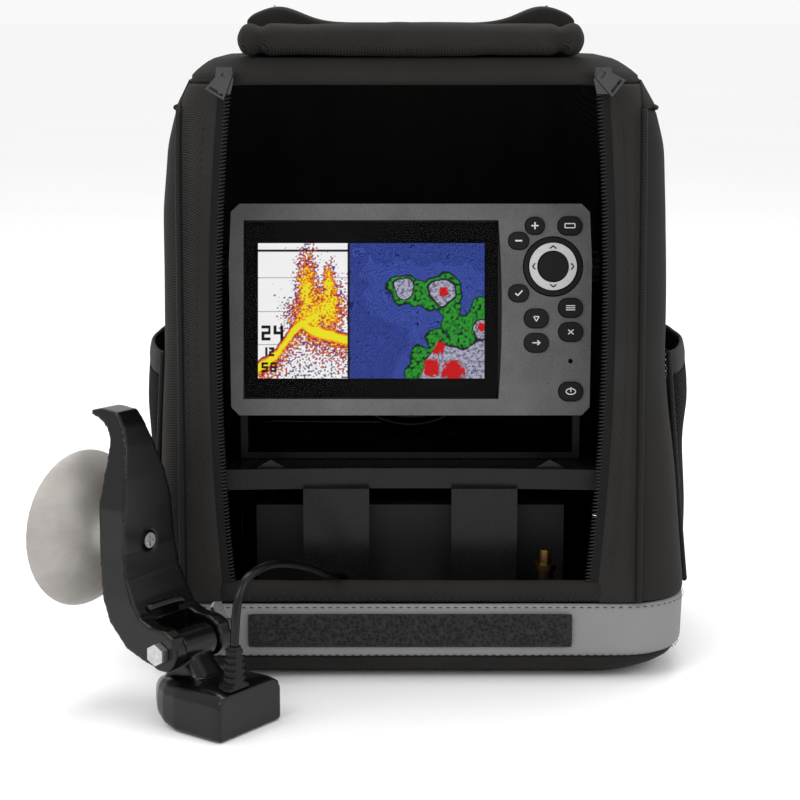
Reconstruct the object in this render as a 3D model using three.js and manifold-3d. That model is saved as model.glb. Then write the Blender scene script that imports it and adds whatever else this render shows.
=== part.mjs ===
// A portable fish finder: a control head on a gimbal inside a soft carrying case, with its battery
// below a shelf, and a transducer on a suction-cup arm joined to the head by its cable.
// Millimetres. +X is to the right, +Y to the back, +Z up. The front of the case faces -Y.
// The origin is on the floor at the middle of the case's base.
import * as THREE from "three";
import { mergeVertices } from "three/addons/utils/BufferGeometryUtils.js";
import Module from "manifold-3d";

const wasm = await Module();
wasm.setup();

// ---- driving dimensions ----
const GAP = 0.3; // between pieces that touch

// case
const CASE_WALL = 5;
const FLOOR_TOP = 5;
const BAND_TOP = 37;
const LIP_TOP = 48;
const OPENING_TOP = 280;
const ROOF_EDGE = 268;
const ROOF_TOP = 291;
const SIDE_SEAM = 107;
const FRONT_DEPTH = 62;
const BACK_DEPTH = 40; // where the sides meet the back, behind the middle
const SHOULDER = 80; // the side panels reach this far in, below the roof
const FRONT_SLOPE = 0.045; // how far the front leans back for each millimetre of height
const ZIP_RADIUS = 1200; // each zip bows outwards on a circle this large
const ZIP_BOW = { left: 91, right: 92 }; // how far out each zip is at its middle
const ZIP_MIDDLE = { left: 160, right: 175 }; // height of that middle

// flap, folded in three on the roof
const FLAP_HALF = 79;
const FLAP_THICK = 5;
const FLAP_UPPER = 105;
const FLAP_MIDDLE = 80;
const FLAP_TAB = 24;
const FLAP_AXIS_Y = -80;
const FLAP_ROOT = 3; // from the first hinge to the cloth's edge

// control head, in its own frame: x right, y into the head, z up the face
const HEAD_TILT = 10.4;
const HEAD_CENTRE = [0, -45, 171];
const HEAD_WIDTH = 174.6;
const HEAD_HEIGHT = 101.7;
const BEZEL_DEPTH = 14;
const HEAD_DEPTH = 55;
const FACE_THICK = 3;
const KEY_TOP = 1.2;
const PAD_CENTRE = [68.55, 20.67];
const PAD_RADIUS = 14;
const PIVOT = [26.3, 23.1]; // gimbal axis in the head's frame: y, z
const PIVOT_WORLD = [-15, 189]; // the same axis in the case's frame: y, z
const ARM_INNER = 80.5;
const ARM_OUTER = 84;
const BRACKET_HALF = 8;
const KNOB_RADIUS = 8.8;

// lower bay
const SHELF_BOTTOM = 83;
const SHELF_TOP = 93;
const TRAY_TOP = 44;
const TRAY_WALL = 3;
const BATTERY = [151, 94, 65];
const BATTERY_PLACE = [0, 7, 41.1];

// transducer, in its own frame: x along the pivot, y towards the nose, z up
const KNUCKLE = [-99, -142, 34];
const KNUCKLE_TURN = 54;
const CUP_RADIUS = 36.5;
const CHEEK_RADIUS = 8.8; // the arm's round ends about the pivot
const CUP_RIM = 65;
const CUP_NECK = 40.3;
const CUP_HEIGHT = 44;

// cable
const CABLE_RADIUS = 2;
const COIL_CENTRE = [0, 58, 136.6];
const COIL_INNER = 20;
const COIL_OUTER = 43;
const COIL_DEPTH = 24;

const radians = THREE.MathUtils.degToRad;

// ---- solids ----
function toSolid(geometry) {
  const bare = geometry.index ? geometry.clone() : geometry;
  bare.deleteAttribute("normal");
  bare.deleteAttribute("uv");
  const merged = mergeVertices(bare, 1e-4);
  const vertProperties = new Float32Array(merged.attributes.position.array);
  const triVerts = new Uint32Array(merged.index.array);
  return new wasm.Manifold(new wasm.Mesh({ numProp: 3, vertProperties, triVerts }));
}

function toGeometry(solid) {
  const mesh = solid.getMesh();
  const geometry = new THREE.BufferGeometry();
  const places = new Float32Array((mesh.vertProperties.length / mesh.numProp) * 3);
  for (let i = 0; i < places.length / 3; i++) {
    for (let k = 0; k < 3; k++) places[3 * i + k] = mesh.vertProperties[i * mesh.numProp + k];
  }
  geometry.setAttribute("position", new THREE.BufferAttribute(places, 3));
  geometry.setIndex(new THREE.BufferAttribute(new Uint32Array(mesh.triVerts), 1));
  geometry.computeVertexNormals();
  return geometry;
}

const cut = (first, ...rest) => rest.reduce((a, b) => a.subtract(b), first);
const join = (first, ...rest) => rest.reduce((a, b) => a.add(b), first);
const meet = (first, ...rest) => rest.reduce((a, b) => a.intersect(b), first);

// A box between two corners.
function slab(low, high) {
  const size = high.map((value, i) => value - low[i]);
  const geometry = new THREE.BoxGeometry(...size);
  geometry.translate(...low.map((value, i) => value + size[i] / 2));
  return toSolid(geometry);
}

// A round bar between two points on a line parallel to one axis.
function bar(axis, centre, radius, start, end, sides = 24, endRadius = radius) {
  const geometry = new THREE.CylinderGeometry(endRadius, radius, end - start, sides);
  geometry.translate(0, (start + end) / 2, 0);
  if (axis === "x") geometry.rotateZ(-Math.PI / 2);
  if (axis === "z") geometry.rotateX(Math.PI / 2);
  const place = { x: [0, ...centre], y: [centre[0], 0, centre[1]], z: [...centre, 0] }[axis];
  geometry.translate(...place);
  return toSolid(geometry);
}

// A flat outline pushed along y, from front to back; the outline is in x and z.
function plate(shape, front, back, curveSegments = 8) {
  const settings = { depth: back - front, bevelEnabled: false, curveSegments };
  const geometry = new THREE.ExtrudeGeometry(shape, settings);
  geometry.rotateX(Math.PI / 2);
  geometry.translate(0, back, 0);
  return toSolid(geometry);
}

// A flat outline pushed along z, from low to high; the outline is in x and y.
function slice(shape, low, high, curveSegments = 8) {
  const settings = { depth: high - low, bevelEnabled: false, curveSegments };
  const geometry = new THREE.ExtrudeGeometry(shape, settings);
  geometry.translate(0, 0, low);
  return toSolid(geometry);
}

// A flat outline pushed along x, from left to right; the outline is in y and z.
function profile(shape, left, right, curveSegments = 8) {
  const settings = { depth: right - left, bevelEnabled: false, curveSegments };
  const geometry = new THREE.ExtrudeGeometry(shape, settings);
  geometry.rotateX(Math.PI / 2);
  geometry.rotateZ(Math.PI / 2);
  geometry.translate(left, 0, 0);
  return toSolid(geometry);
}

function roundedShape(width, height, radius, x = 0, y = 0) {
  const shape = new THREE.Shape();
  const right = x + width / 2;
  const top = y + height / 2;
  const left = x - width / 2;
  const bottom = y - height / 2;
  shape.moveTo(left + radius, bottom);
  shape.lineTo(right - radius, bottom);
  shape.absarc(right - radius, bottom + radius, radius, -Math.PI / 2, 0);
  shape.lineTo(right, top - radius);
  shape.absarc(right - radius, top - radius, radius, 0, Math.PI / 2);
  shape.lineTo(left + radius, top);
  shape.absarc(left + radius, top - radius, radius, Math.PI / 2, Math.PI);
  shape.lineTo(left, bottom + radius);
  shape.absarc(left + radius, bottom + radius, radius, Math.PI, Math.PI * 1.5);
  return shape;
}

function polygon(points) {
  return new THREE.Shape(points.map(([x, y]) => new THREE.Vector2(x, y)));
}

// Points counter-clockwise round a rectangle with round corners.
const CORNER_STEPS = 5;
function roundedOutline(left, right, front, back, frontRadius, backRadius = frontRadius) {
  const corners = [
    [right - backRadius, back - backRadius, backRadius],
    [left + backRadius, back - backRadius, backRadius],
    [left + frontRadius, front + frontRadius, frontRadius],
    [right - frontRadius, front + frontRadius, frontRadius],
  ];
  const points = [];
  corners.forEach(([x, y, radius], corner) => {
    for (let i = 0; i <= CORNER_STEPS; i++) {
      const angle = radians(90 * (corner + i / CORNER_STEPS));
      points.push([x + radius * Math.cos(angle), y + radius * Math.sin(angle)]);
    }
  });
  return points;
}

// A closed solid whose outline changes with its height.
function barrel(heights, outlineAt) {
  const rows = heights.length - 1;
  const count = outlineAt(heights[0]).length;
  const geometry = new THREE.CylinderGeometry(1, 1, 1, count, rows);
  const place = geometry.attributes.position;
  for (let i = 0; i < place.count; i++) {
    const height = heights[Math.round((place.getY(i) + 0.5) * rows)];
    const outline = outlineAt(height);
    const turn = Math.atan2(place.getX(i), place.getZ(i)) / (2 * Math.PI);
    const onAxis = Math.hypot(place.getX(i), place.getZ(i)) < 0.5;
    const step = (Math.round(turn * count) + count) % count;
    const mean = (axis) => outline.reduce((sum, point) => sum + point[axis], 0) / count;
    const [x, y] = onAxis ? [mean(0), mean(1)] : outline[step];
    place.setXYZ(i, x, y, height);
  }
  return toSolid(geometry);
}

// A closed profile, or one that starts and ends on the axis, turned about z; it holds radius and height.
function turned(points, segments = 32) {
  const geometry = new THREE.LatheGeometry(points.map(([r, h]) => new THREE.Vector2(r, h)), segments);
  geometry.rotateX(Math.PI / 2);
  return toSolid(geometry);
}

// A round tube along points.
function tube(points, radius, steps, sides = 8) {
  const shape = new THREE.Shape();
  for (let i = 0; i < sides; i++) {
    const angle = (2 * Math.PI * i) / sides;
    const corner = [radius * Math.cos(angle), radius * Math.sin(angle)];
    if (i === 0) shape.moveTo(...corner);
    else shape.lineTo(...corner);
  }
  shape.closePath();
  const route = new THREE.CatmullRomCurve3(points.map((p) => new THREE.Vector3(...p)), false, "centripetal");
  return toSolid(new THREE.ExtrudeGeometry(shape, { steps, extrudePath: route, bevelEnabled: false }));
}

// ---- materials ----
const COLOURS = {
  cloth: ["#2b2b2d", 0.9, 0],
  band: ["#97959a", 0.75, 0],
  loop: ["#1f1e20", 0.95, 0],
  metal: ["#6d6a66", 0.35, 0.9],
  bezel: ["#555558", 0.5, 0],
  dark: ["#1b1a1c", 0.45, 0],
  key: ["#161618", 0.55, 0],
  light: ["#d9d9dc", 0.5, 0],
  glass: ["#0c1012", 0.08, 0],
  board: ["#1e5a34", 0.6, 0],
  cup: ["#b4ae9a", 0.4, 0],
  battery: ["#2a2c30", 0.5, 0],
  brass: ["#c09a4a", 0.35, 0.9],
  steel: ["#b9b7b2", 0.3, 0.9],
  rubber: ["#1a1a1b", 0.8, 0],
};

const fishFinder = new THREE.Group();
function add(name, solid, finish, parent = fishFinder) {
  const [color, roughness, metalness] = COLOURS[finish];
  const material = new THREE.MeshStandardMaterial({ color, roughness, metalness });
  const mesh = new THREE.Mesh(toGeometry(solid), material);
  mesh.name = name;
  parent.add(mesh);
  return mesh;
}

// ---- the case: one soft shell, cut into its sewn panels ----
const frontAt = (z) => -90 + (z - 40) * FRONT_SLOPE;
const CASE_SECTIONS = [
  // height, left, right, front, back, corner radius
  [0, -110, 113, -78, 78, 26],
  [6, -119, 124, -86, 84, 30],
  [14, -123, 131, frontAt(14), 88, 30],
  [40, -124, 132, frontAt(40), 90, 30],
  [80, -121, 128, frontAt(80), 90, 30],
  [150, -117, 122, frontAt(150), 88, 30],
  [220, -117, 121, frontAt(220), 82, 30],
  [250, -114.5, 119, frontAt(250), 76, 29],
  [270, -109, 114, frontAt(270), 68, 28],
  [282, -103, 107, frontAt(282), 58, 27],
  [ROOF_TOP, -93, 95, -73, 48, 26],
];

function caseOutline(z, inset) {
  const above = CASE_SECTIONS.findIndex((section) => section[0] >= z - 1e-6);
  const high = CASE_SECTIONS[Math.max(above, 1)];
  const low = CASE_SECTIONS[Math.max(above, 1) - 1];
  const share = (z - low[0]) / (high[0] - low[0]);
  const between = (k) => low[k] + share * (high[k] - low[k]);
  const [left, right, front, back, radius] = [1, 2, 3, 4, 5].map(between);
  return roundedOutline(left + inset, right - inset, front + inset, back - inset, radius - inset);
}

const caseHeights = CASE_SECTIONS.map((section) => section[0]);
const caseOuter = barrel(caseHeights, (z) => caseOutline(z, 0));
const innerHeights = [FLOOR_TOP, 14, ...caseHeights.slice(3, -1), ROOF_TOP - CASE_WALL];
const caseInner = barrel(innerHeights, (z) => caseOutline(z, CASE_WALL));

// Each zip bows outwards between the lip and the top of the opening.
function zipAt(side, z) {
  return ZIP_BOW[side] - ZIP_RADIUS + Math.sqrt(ZIP_RADIUS ** 2 - (z - ZIP_MIDDLE[side]) ** 2);
}
const OPENING_BOTTOM = LIP_TOP - GAP / 2;
const OPENING_STEPS = 8;
const leftEdge = [];
const rightEdge = [];
for (let i = 0; i <= OPENING_STEPS; i++) {
  const z = OPENING_BOTTOM + ((OPENING_TOP - OPENING_BOTTOM) * i) / OPENING_STEPS;
  leftEdge.push([-zipAt("left", z), z]);
  rightEdge.push([zipAt("right", z), z]);
}
const opening = plate(polygon([...rightEdge, ...leftEdge.reverse()]), -120, -FRONT_DEPTH);
const caseShell = cut(caseOuter, caseInner, opening);

const WIDE = 200;
const caseBand = meet(caseShell, slab([-WIDE, -WIDE, -1], [WIDE, WIDE, BAND_TOP]));
const upper = meet(caseShell, slab([-WIDE, -WIDE, BAND_TOP + GAP], [WIDE, WIDE, WIDE * 2]));
const roofZone = join(
  slab([-WIDE, -FRONT_DEPTH, ROOF_EDGE], [WIDE, WIDE, WIDE * 2]),
  slab([-WIDE, -WIDE, OPENING_TOP + GAP], [WIDE, WIDE, WIDE * 2]),
);
const frontZone = join(
  slab([-SIDE_SEAM, -WIDE, 0], [SIDE_SEAM, -FRONT_DEPTH - GAP, OPENING_TOP]),
  slab([-WIDE, -WIDE, ROOF_EDGE], [WIDE, -FRONT_DEPTH - GAP, OPENING_TOP]),
);
const backZone = slab([-SIDE_SEAM, BACK_DEPTH, 0], [SIDE_SEAM, WIDE, ROOF_EDGE - GAP]);
const front = meet(upper, frontZone);

add("base_band", caseBand, "band");
add("roof_panel", meet(upper, roofZone), "cloth");
add("back_panel", meet(upper, backZone), "cloth");
add("front_lip", meet(front, slab([-WIDE, -WIDE, 0], [WIDE, WIDE, LIP_TOP - GAP])), "cloth");
for (const [side, name] of [[-1, "left"], [1, "right"]]) {
  const between = (near, low, high) => {
    const ends = [side * near, side * WIDE].sort((a, b) => a - b);
    return slab([ends[0], low, 0], [ends[1], high, ROOF_EDGE - GAP]);
  };
  const sideZone = join(
    between(SIDE_SEAM + GAP, -WIDE, WIDE),
    between(SHOULDER, -FRONT_DEPTH, BACK_DEPTH - GAP),
  );
  add(`${name}_side_panel`, meet(upper, sideZone), "cloth");
  const half = slab([Math.min(0, side * WIDE), -WIDE, LIP_TOP], [Math.max(0, side * WIDE), WIDE, WIDE * 2]);
  add(`front_${name}_strip`, meet(front, half), "cloth");
}

// hook-and-loop strip sewn on the band
add("loop_strip", slab([-72.5, -92.9, 17.5], [75.5, -91.3, 32.5]), "loop");

// side pockets: open-topped shells that stand off the side panels
const POCKET_LOW = 40;
const POCKET_TOP = 152;
const POCKET_HALF_DEPTH = 60;
const POCKET_FACE = { left: -128.5, right: 136 };
const POCKET_SKIN = 1.6;
const POCKET_FLOOR = 3;
function pocketBlock(side, inset, low, high) {
  const [left, right] = side === "left" ? [POCKET_FACE.left + inset, -60] : [60, POCKET_FACE.right - inset];
  const depth = POCKET_HALF_DEPTH - inset;
  return barrel([low, high], () => roundedOutline(left, right, -depth, depth, 20 - inset));
}
const sideGuard = barrel([0, POCKET_LOW, 80, 150, 220], (z) => caseOutline(z, -GAP));
for (const side of ["left", "right"]) {
  const block = pocketBlock(side, 0, POCKET_LOW, POCKET_TOP);
  const hollow = pocketBlock(side, POCKET_SKIN, POCKET_LOW + POCKET_FLOOR, POCKET_TOP + 1);
  add(`${side}_pocket`, cut(block, hollow, sideGuard), "cloth");
}

// ---- the flap: three panels folded on the roof ----
const flapLow = ROOF_TOP + GAP;
const rootY = FLAP_AXIS_Y + FLAP_ROOT;
const upperEnd = rootY + FLAP_UPPER;
const middleEnd = upperEnd - FLAP_MIDDLE;
const layer = (count) => flapLow + count * (FLAP_THICK + GAP);
const sheet = (nearY, farY, level) => slab(
  [-FLAP_HALF, nearY, layer(level)],
  [FLAP_HALF, farY, layer(level) + FLAP_THICK],
);
add("flap_upper", sheet(rootY, upperEnd, 0), "cloth");
add("flap_middle", sheet(middleEnd, upperEnd, 1), "cloth");
const tabShape = roundedShape(2 * FLAP_HALF - 8, FLAP_TAB, 5, 0, middleEnd + FLAP_TAB / 2);
add("flap_tab", slice(tabShape, layer(2), layer(2) + FLAP_THICK), "cloth");

// ---- grab handle and shoulder straps ----
const handleRoute = [
  [-40, 40, 293.6], [-34, 41, 298.5], [-18, 42, 301.6], [0, 42, 302.6],
  [18, 42, 301.6], [34, 41, 298.5], [40, 40, 293.6],
];
add("grab_handle", tube(handleRoute, 2.2, 20), "cloth");

const STRAP_WIDTH = 40;
for (const [side, name] of [[-1, "left"], [1, "right"]]) {
  const outer = [[81, 245], [92, 245], [104, 228], [112, 190], [112, 130], [106, 80], [97, 52], [91.5, 52]];
  const inner = [[91.5, 58], [100, 84], [106, 130], [106, 190], [99, 224], [90, 238], [81, 239]];
  const strapShape = polygon([...outer, ...inner]);
  const shapeAtSide = profile(strapShape, side * 55 - STRAP_WIDTH / 2, side * 55 + STRAP_WIDTH / 2);
  const backGuard = barrel([0, 40, 80, 150, 220, 250, 270], (z) => caseOutline(z, -GAP));
  add(`shoulder_strap_${name}`, cut(shapeAtSide, backGuard), "cloth");
}

// ---- zip sliders and their pullers ----
const SLIDER_START = 281;
const LEAN = Math.atan(FRONT_SLOPE);
const PULLER_TURN = { left: 31, right: -52 }; // from straight down, towards the outside
const PULLER_SHIFT = { left: 1.5, right: -2 };
const PULLER_LENGTH = 11.6;
const PULLER_TOP = 0.3; // above its hinge, small enough to turn clear of the crown
const pullerOutline = (inset) => polygon([
  [-2.6 + inset, PULLER_TOP - inset], [-4.9 + 1.2 * inset, PULLER_TOP - PULLER_LENGTH + inset],
  [4.9 - 1.2 * inset, PULLER_TOP - PULLER_LENGTH + inset], [2.6 - inset, PULLER_TOP - inset],
]);
for (const side of ["left", "right"]) {
  const out = side === "left" ? -1 : 1;
  const slider = new THREE.Group();
  slider.position.set(out * zipAt(side, SLIDER_START), frontAt(SLIDER_START) - GAP, SLIDER_START);
  slider.rotation.x = -LEAN;
  fishFinder.add(slider);
  const shield = polygon([[-2.8, -6], [2.8, -6], [4.2, 0], [3.6, 6], [-3.6, 6], [-4.2, 0]]);
  const shift = PULLER_SHIFT[side];
  const crown = slab([shift - 1.1, -4.6, 0.4], [shift + 1.1, -2.5, 5.4]);
  add(`zip_slider_${side}`, join(plate(shield, -3, -0.1), crown), "metal", slider);

  const puller = new THREE.Group();
  puller.position.set(shift, -5, 3.4);
  puller.rotation.y = radians(PULLER_TURN[side]);
  slider.add(puller);
  const wire = cut(plate(pullerOutline(0), -1.4, 0), plate(pullerOutline(1), -2, 1));
  const barrelPlate = polygon([[-2.9, -2.6], [-3.9, -9], [3.9, -9], [2.9, -2.6]]);
  const bridge = slab([-3.1, -1.1, -3.4], [3.1, -0.3, -2.4]);
  add(`zip_puller_${side}`, join(wire, plate(barrelPlate, -1.2, -0.2), bridge), "metal", puller);
}

// ---- lower bay ----
const trayShape = (inset) => {
  const outline = roundedShape(208 - 2 * inset, 152 - 2 * inset, 28 - inset, 0, -2);
  return outline;
};
const trayFloor = FLOOR_TOP + GAP;
const tray = cut(
  slice(trayShape(0), trayFloor, TRAY_TOP, 5),
  slice(trayShape(TRAY_WALL), trayFloor + TRAY_WALL, TRAY_TOP + 1, 5),
);
add("tray_base", tray, "dark");
const bayFloor = trayFloor + TRAY_WALL + GAP;

const shelfShape = new THREE.Shape();
shelfShape.moveTo(-100, -50);
shelfShape.quadraticCurveTo(0, -40, 100, -50);
shelfShape.lineTo(100, 70);
shelfShape.lineTo(-78, 70);
shelfShape.lineTo(-78, 44);
shelfShape.lineTo(-100, 44);
const legs = [];
for (const side of [-1, 1]) {
  const [near, far] = side < 0 ? [-52, -20] : [20, 52];
  legs.push(slab([near, -51, bayFloor], [far, -44, SHELF_BOTTOM + 1]));
  legs.push(slab([near, 60, bayFloor], [far, 66, SHELF_BOTTOM + 1]));
  const [ribNear, ribFar] = side < 0 ? [-77, -59] : [59, 77];
  const rib = polygon([[ribNear, SHELF_TOP - 1], [ribFar, SHELF_TOP - 1], [side * 68, SHELF_TOP + 4]]);
  legs.push(plate(rib, -44, -38));
}
add("shelf_bridge", join(slice(shelfShape, SHELF_BOTTOM, SHELF_TOP, 10), ...legs), "dark");

const batteryLow = BATTERY.map((size, i) => BATTERY_PLACE[i] - size / 2);
const batteryHigh = BATTERY.map((size, i) => BATTERY_PLACE[i] + size / 2);
add("battery", slab(batteryLow, batteryHigh), "battery");
for (const [x, name] of [[-62, "negative"], [62, "positive"]]) {
  const tab = slab([x - 3.2, batteryHigh[1] + GAP, 30], [x + 3.2, batteryHigh[1] + 1.1, 37]);
  add(`battery_terminal_${name}`, join(tab, slab([x - 3.2, 54.3, 36], [x + 3.2, 57.5, 37])), "brass");
}

const socketBase = bar("z", [65, -58], 7, bayFloor, 14, 20);
const socketStem = bar("z", [65, -58], 4.4, 13, 46, 20);
const socketRing = bar("z", [65, -58], 5.6, 45.9, 49, 20);
const socketTop = bar("z", [65, -58], 3.4, 48.9, 56, 20);
const socketSolid = join(socketBase, socketStem, socketRing, socketTop);
const socketBore = bar("z", [65, -58], 1.5, 50, 57, 12);
add("charge_socket", cut(socketSolid, socketBore), "brass");

const leadRoute = [
  [72.4, -58, 11.2], [80, -56, 11.2], [89, -45, 11.2], [90, 0, 11.2], [89, 45, 11.2], [84, 60, 16],
  [74, 64, 28], [66, 61, 33.4], [62, 58.3, 33.4],
];
add("power_lead", tube(leadRoute, 1.6, 34), "rubber");

// ---- control head ----
const head = new THREE.Group();
head.position.set(...HEAD_CENTRE);
head.rotation.x = radians(-HEAD_TILT);
fishFinder.add(head);

// The face's outline: cut corners, and sides that swell a little towards the top.
function faceShape(inset) {
  const half = HEAD_WIDTH / 2 - inset;
  const top = HEAD_HEIGHT / 2 - inset;
  const cornerCut = 4;
  const swell = 0.7;
  const right = [[half - cornerCut - 1, -top], [half - 1.2, -top + cornerCut]];
  right.push([half - swell, -20], [half, 22]);
  right.push([half - 1, top - cornerCut], [half - cornerCut - 1, top]);
  const left = right.map(([x, z]) => [-x, z]).reverse();
  return polygon([...right, ...left]);
}

const KEYS = [
  // name, x, z, half width, half height
  ["plus", 59.8, 40.2, 4.5, 4],
  ["minus", 52, 33, 4.7, 4],
  ["view", 76.6, 40.2, 5.7, 4.3],
  ["check", 52, 7.8, 4.7, 4],
  ["menu", 76.9, 0.8, 5.7, 4.4],
  ["mark", 60.5, -4.3, 5.7, 4.4],
  ["exit", 77, -10.8, 5.7, 4.4],
  ["goto", 60.5, -16, 5.7, 4.4],
  ["power", 77, -39.4, 5.7, 4.4],
];
const keyShape = ([, x, z, halfWidth, halfHeight], grow) =>
  roundedShape(2 * (halfWidth + grow), 2 * (halfHeight + grow), halfHeight + grow - 0.2, x, z);

const glassShape = (grow) => {
  const shape = new THREE.Shape();
  shape.moveTo(-80 - grow, -42.7 - grow);
  shape.lineTo(42 + grow, -42.7 - grow);
  shape.quadraticCurveTo(45.4 + grow, 0, 42 + grow, 42.7 + grow);
  shape.lineTo(-80 - grow, 42.7 + grow);
  return shape;
};

const keyHoles = KEYS.map((key) => plate(keyShape(key, 0.4), -1, BEZEL_DEPTH, 4));
const padHole = bar("y", PAD_CENTRE, PAD_RADIUS + 0.6, -1, BEZEL_DEPTH, 32);
const bezel = cut(
  plate(faceShape(0), 0, BEZEL_DEPTH),
  plate(faceShape(3), FACE_THICK, BEZEL_DEPTH + 1),
  plate(glassShape(GAP), -1, BEZEL_DEPTH),
  padHole,
  ...keyHoles,
);
add("front_bezel", bezel, "bezel", head);
add("screen_lens", plate(glassShape(0), 0.4, 2.6), "glass", head);
add("lcd_panel", slab([-76, 3, -36], [38.5, 7.4, 36]), "dark", head);
add("circuit_board", slab([-80, 10.2, -45], [80, 11.8, 45]), "board", head);

const membrane = slab([46.5, 7.6, -45], [81.5, 9.4, 45]);
add("keypad_membrane", membrane, "rubber", head);

const gasket = cut(plate(faceShape(0.4), BEZEL_DEPTH + GAP, 15.6), plate(faceShape(3), BEZEL_DEPTH, 16));
add("bezel_gasket", gasket, "rubber", head);

const housingFront = 15.9;
const housingShape = (inset) => polygon([
  [79 - inset, -44], [74 - inset, -49 + inset], [-74 + inset, -49 + inset], [-79 + inset, -44],
  [-79 + inset, 44], [-74 + inset, 49 - inset], [74 - inset, 49 - inset], [79 - inset, 44],
].reverse());
const rearEdge = profile(
  polygon([
    [housingFront, -60], [38, -60], [HEAD_DEPTH, -38],
    [HEAD_DEPTH, 46], [50, 60], [housingFront, 60],
  ]),
  -90,
  90,
);
const housingRim = cut(plate(faceShape(0.2), housingFront, 17), plate(faceShape(3), 15, 20));
const housing = cut(
  join(meet(plate(housingShape(0), housingFront, HEAD_DEPTH), rearEdge), housingRim),
  meet(plate(housingShape(3), housingFront - 1, HEAD_DEPTH - 3), rearEdge.translate([0, -3, 0])),
);
const bosses = [-1, 1].map((side) =>
  bar("x", PIVOT, 8, side < 0 ? -77 : 64, side < 0 ? -64 : 77, 20));
const studHoles = [-1, 1].map((side) =>
  bar("x", PIVOT, 3.3, side < 0 ? -90 : 66, side < 0 ? -66 : 90, 16));
add("rear_housing", cut(join(housing, ...bosses), ...studHoles), "dark", head);

for (const key of KEYS) {
  const cap = plate(keyShape(key, 0), -KEY_TOP, 4.6, 4);
  const flange = plate(keyShape(key, 0.55), FACE_THICK + GAP, 4.6, 4);
  const onFace = meet(flange, slab([46, 0, -47], [82.6, 9, 47]));
  add(`key_${key[0]}`, join(cap, onFace), "key", head);
}

const padDisc = cut(
  bar("y", PAD_CENTRE, PAD_RADIUS, 0.2, 5.4, 40),
  cut(bar("y", PAD_CENTRE, 11.9, -1, 2.6, 40), bar("y", PAD_CENTRE, 7.2, -2, 3, 32)),
);
add("dpad_carrier", padDisc, "key", head);
const padRing = cut(bar("y", PAD_CENTRE, 11.4, -0.9, 1.4, 40), bar("y", PAD_CENTRE, 7.7, -2, 3, 32));
add("dpad_ring", padRing, "light", head);

const CONNECTOR = [32, 38]; // x and z of the plug's axis in the head's frame
const PLUG_START = HEAD_DEPTH + GAP;
const PLUG_END = 77;
const plugBody = bar("y", CONNECTOR, 6.5, PLUG_START, 68, 16);
const plugCollar = bar("y", CONNECTOR, 7.6, 58, 64, 16);
const plugBoot = bar("y", CONNECTOR, 4.6, 67.9, PLUG_END, 16, 2.9);
add("cable_connector", join(plugBody, plugCollar, plugBoot), "rubber", head);

// ---- gimbal ----
const [pivotY, pivotZ] = PIVOT_WORLD;
const bracketArms = [];
for (const side of [-1, 1]) {
  const [near, far] = side < 0 ? [-ARM_OUTER, -ARM_INNER] : [ARM_INNER, ARM_OUTER];
  bracketArms.push(slab(
    [near, pivotY - BRACKET_HALF, SHELF_TOP + GAP],
    [far, pivotY + BRACKET_HALF, pivotZ],
  ));
  bracketArms.push(bar("x", PIVOT_WORLD, BRACKET_HALF, near, far, 24));
}
const bracketBase = slab(
  [-ARM_OUTER, pivotY - BRACKET_HALF, SHELF_TOP + GAP],
  [ARM_OUTER, pivotY + BRACKET_HALF, SHELF_TOP + 3.3],
);
const bracketHole = bar("x", PIVOT_WORLD, 3.3, -100, 100, 16);
add("gimbal_bracket", cut(join(bracketBase, ...bracketArms), bracketHole), "dark");

for (const [side, name] of [[-1, "left"], [1, "right"]]) {
  const knob = new THREE.Group();
  knob.position.set(side * ARM_OUTER, ...PIVOT_WORLD);
  knob.rotation.y = side < 0 ? Math.PI : 0;
  fishFinder.add(knob);
  const cap = bar("x", [0, 0], KNOB_RADIUS, GAP, 8.5, 24);
  const notches = [];
  const NOTCHES = 8;
  for (let i = 0; i < NOTCHES; i++) {
    const angle = (2 * Math.PI * i) / NOTCHES;
    const reach = KNOB_RADIUS + 1.4;
    notches.push(bar("x", [reach * Math.cos(angle), reach * Math.sin(angle)], 2.6, 2, 10, 10));
  }
  const stud = bar("x", [0, 0], 2.9, -17, 0.4, 16);
  add(`gimbal_knob_${name}`, join(cut(cap, ...notches), stud), "rubber", knob);
}

// ---- transducer on its suction-cup arm ----
const float = new THREE.Group();
float.position.set(...KNUCKLE);
float.rotation.z = radians(KNUCKLE_TURN);
fishFinder.add(float);
const floor = -KNUCKLE[2];

// The hull is a barrel lying along y: its outlines are in x and z.
const HULL_SECTIONS = [
  // y, half width, bottom, top, top radius, bottom radius
  [-35, 21, floor, -14, 6, 1],
  [-30, 21.3, floor, -13, 7, 1.5],
  [-8, 20.5, floor, -12.5, 8, 2],
  [0, 18.8, floor + 0.5, -13, 8, 4],
  [6, 15.8, floor + 2, -13.8, 7, 5],
  [11, 11.2, floor + 4.5, -15.2, 5, 5],
  [14.5, 6, floor + 8, -17.5, 2.5, 3],
  [16, 2.5, floor + 10.5, -19.5, 1, 1.2],
];
function lying(sections) {
  const outline = (y) => {
    const [, half, bottom, top, topRadius, bottomRadius] = sections.find((section) => section[0] === y);
    return roundedOutline(-half, half, -top, -bottom, topRadius, bottomRadius);
  };
  const upright = toGeometry(barrel(sections.map((section) => section[0]), outline));
  upright.rotateX(-Math.PI / 2);
  return toSolid(upright);
}
const hull = lying(HULL_SECTIONS);
const neck = barrel([-20, -12, -4], (z) => {
  const share = (z + 20) / 16;
  return roundedOutline(-10.5 + 2 * share, 10.5 - 2 * share, -20 + 12.6 * share, 10 - 2.6 * share, 5);
});
const knuckle = bar("x", [0, 0], 7.5, -11, 11, 24);
const pivotHole = bar("x", [0, 0], 2.8, -30, 30, 16);
add("transducer_body", cut(join(hull, neck, knuckle), pivotHole), "dark", float);

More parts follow.
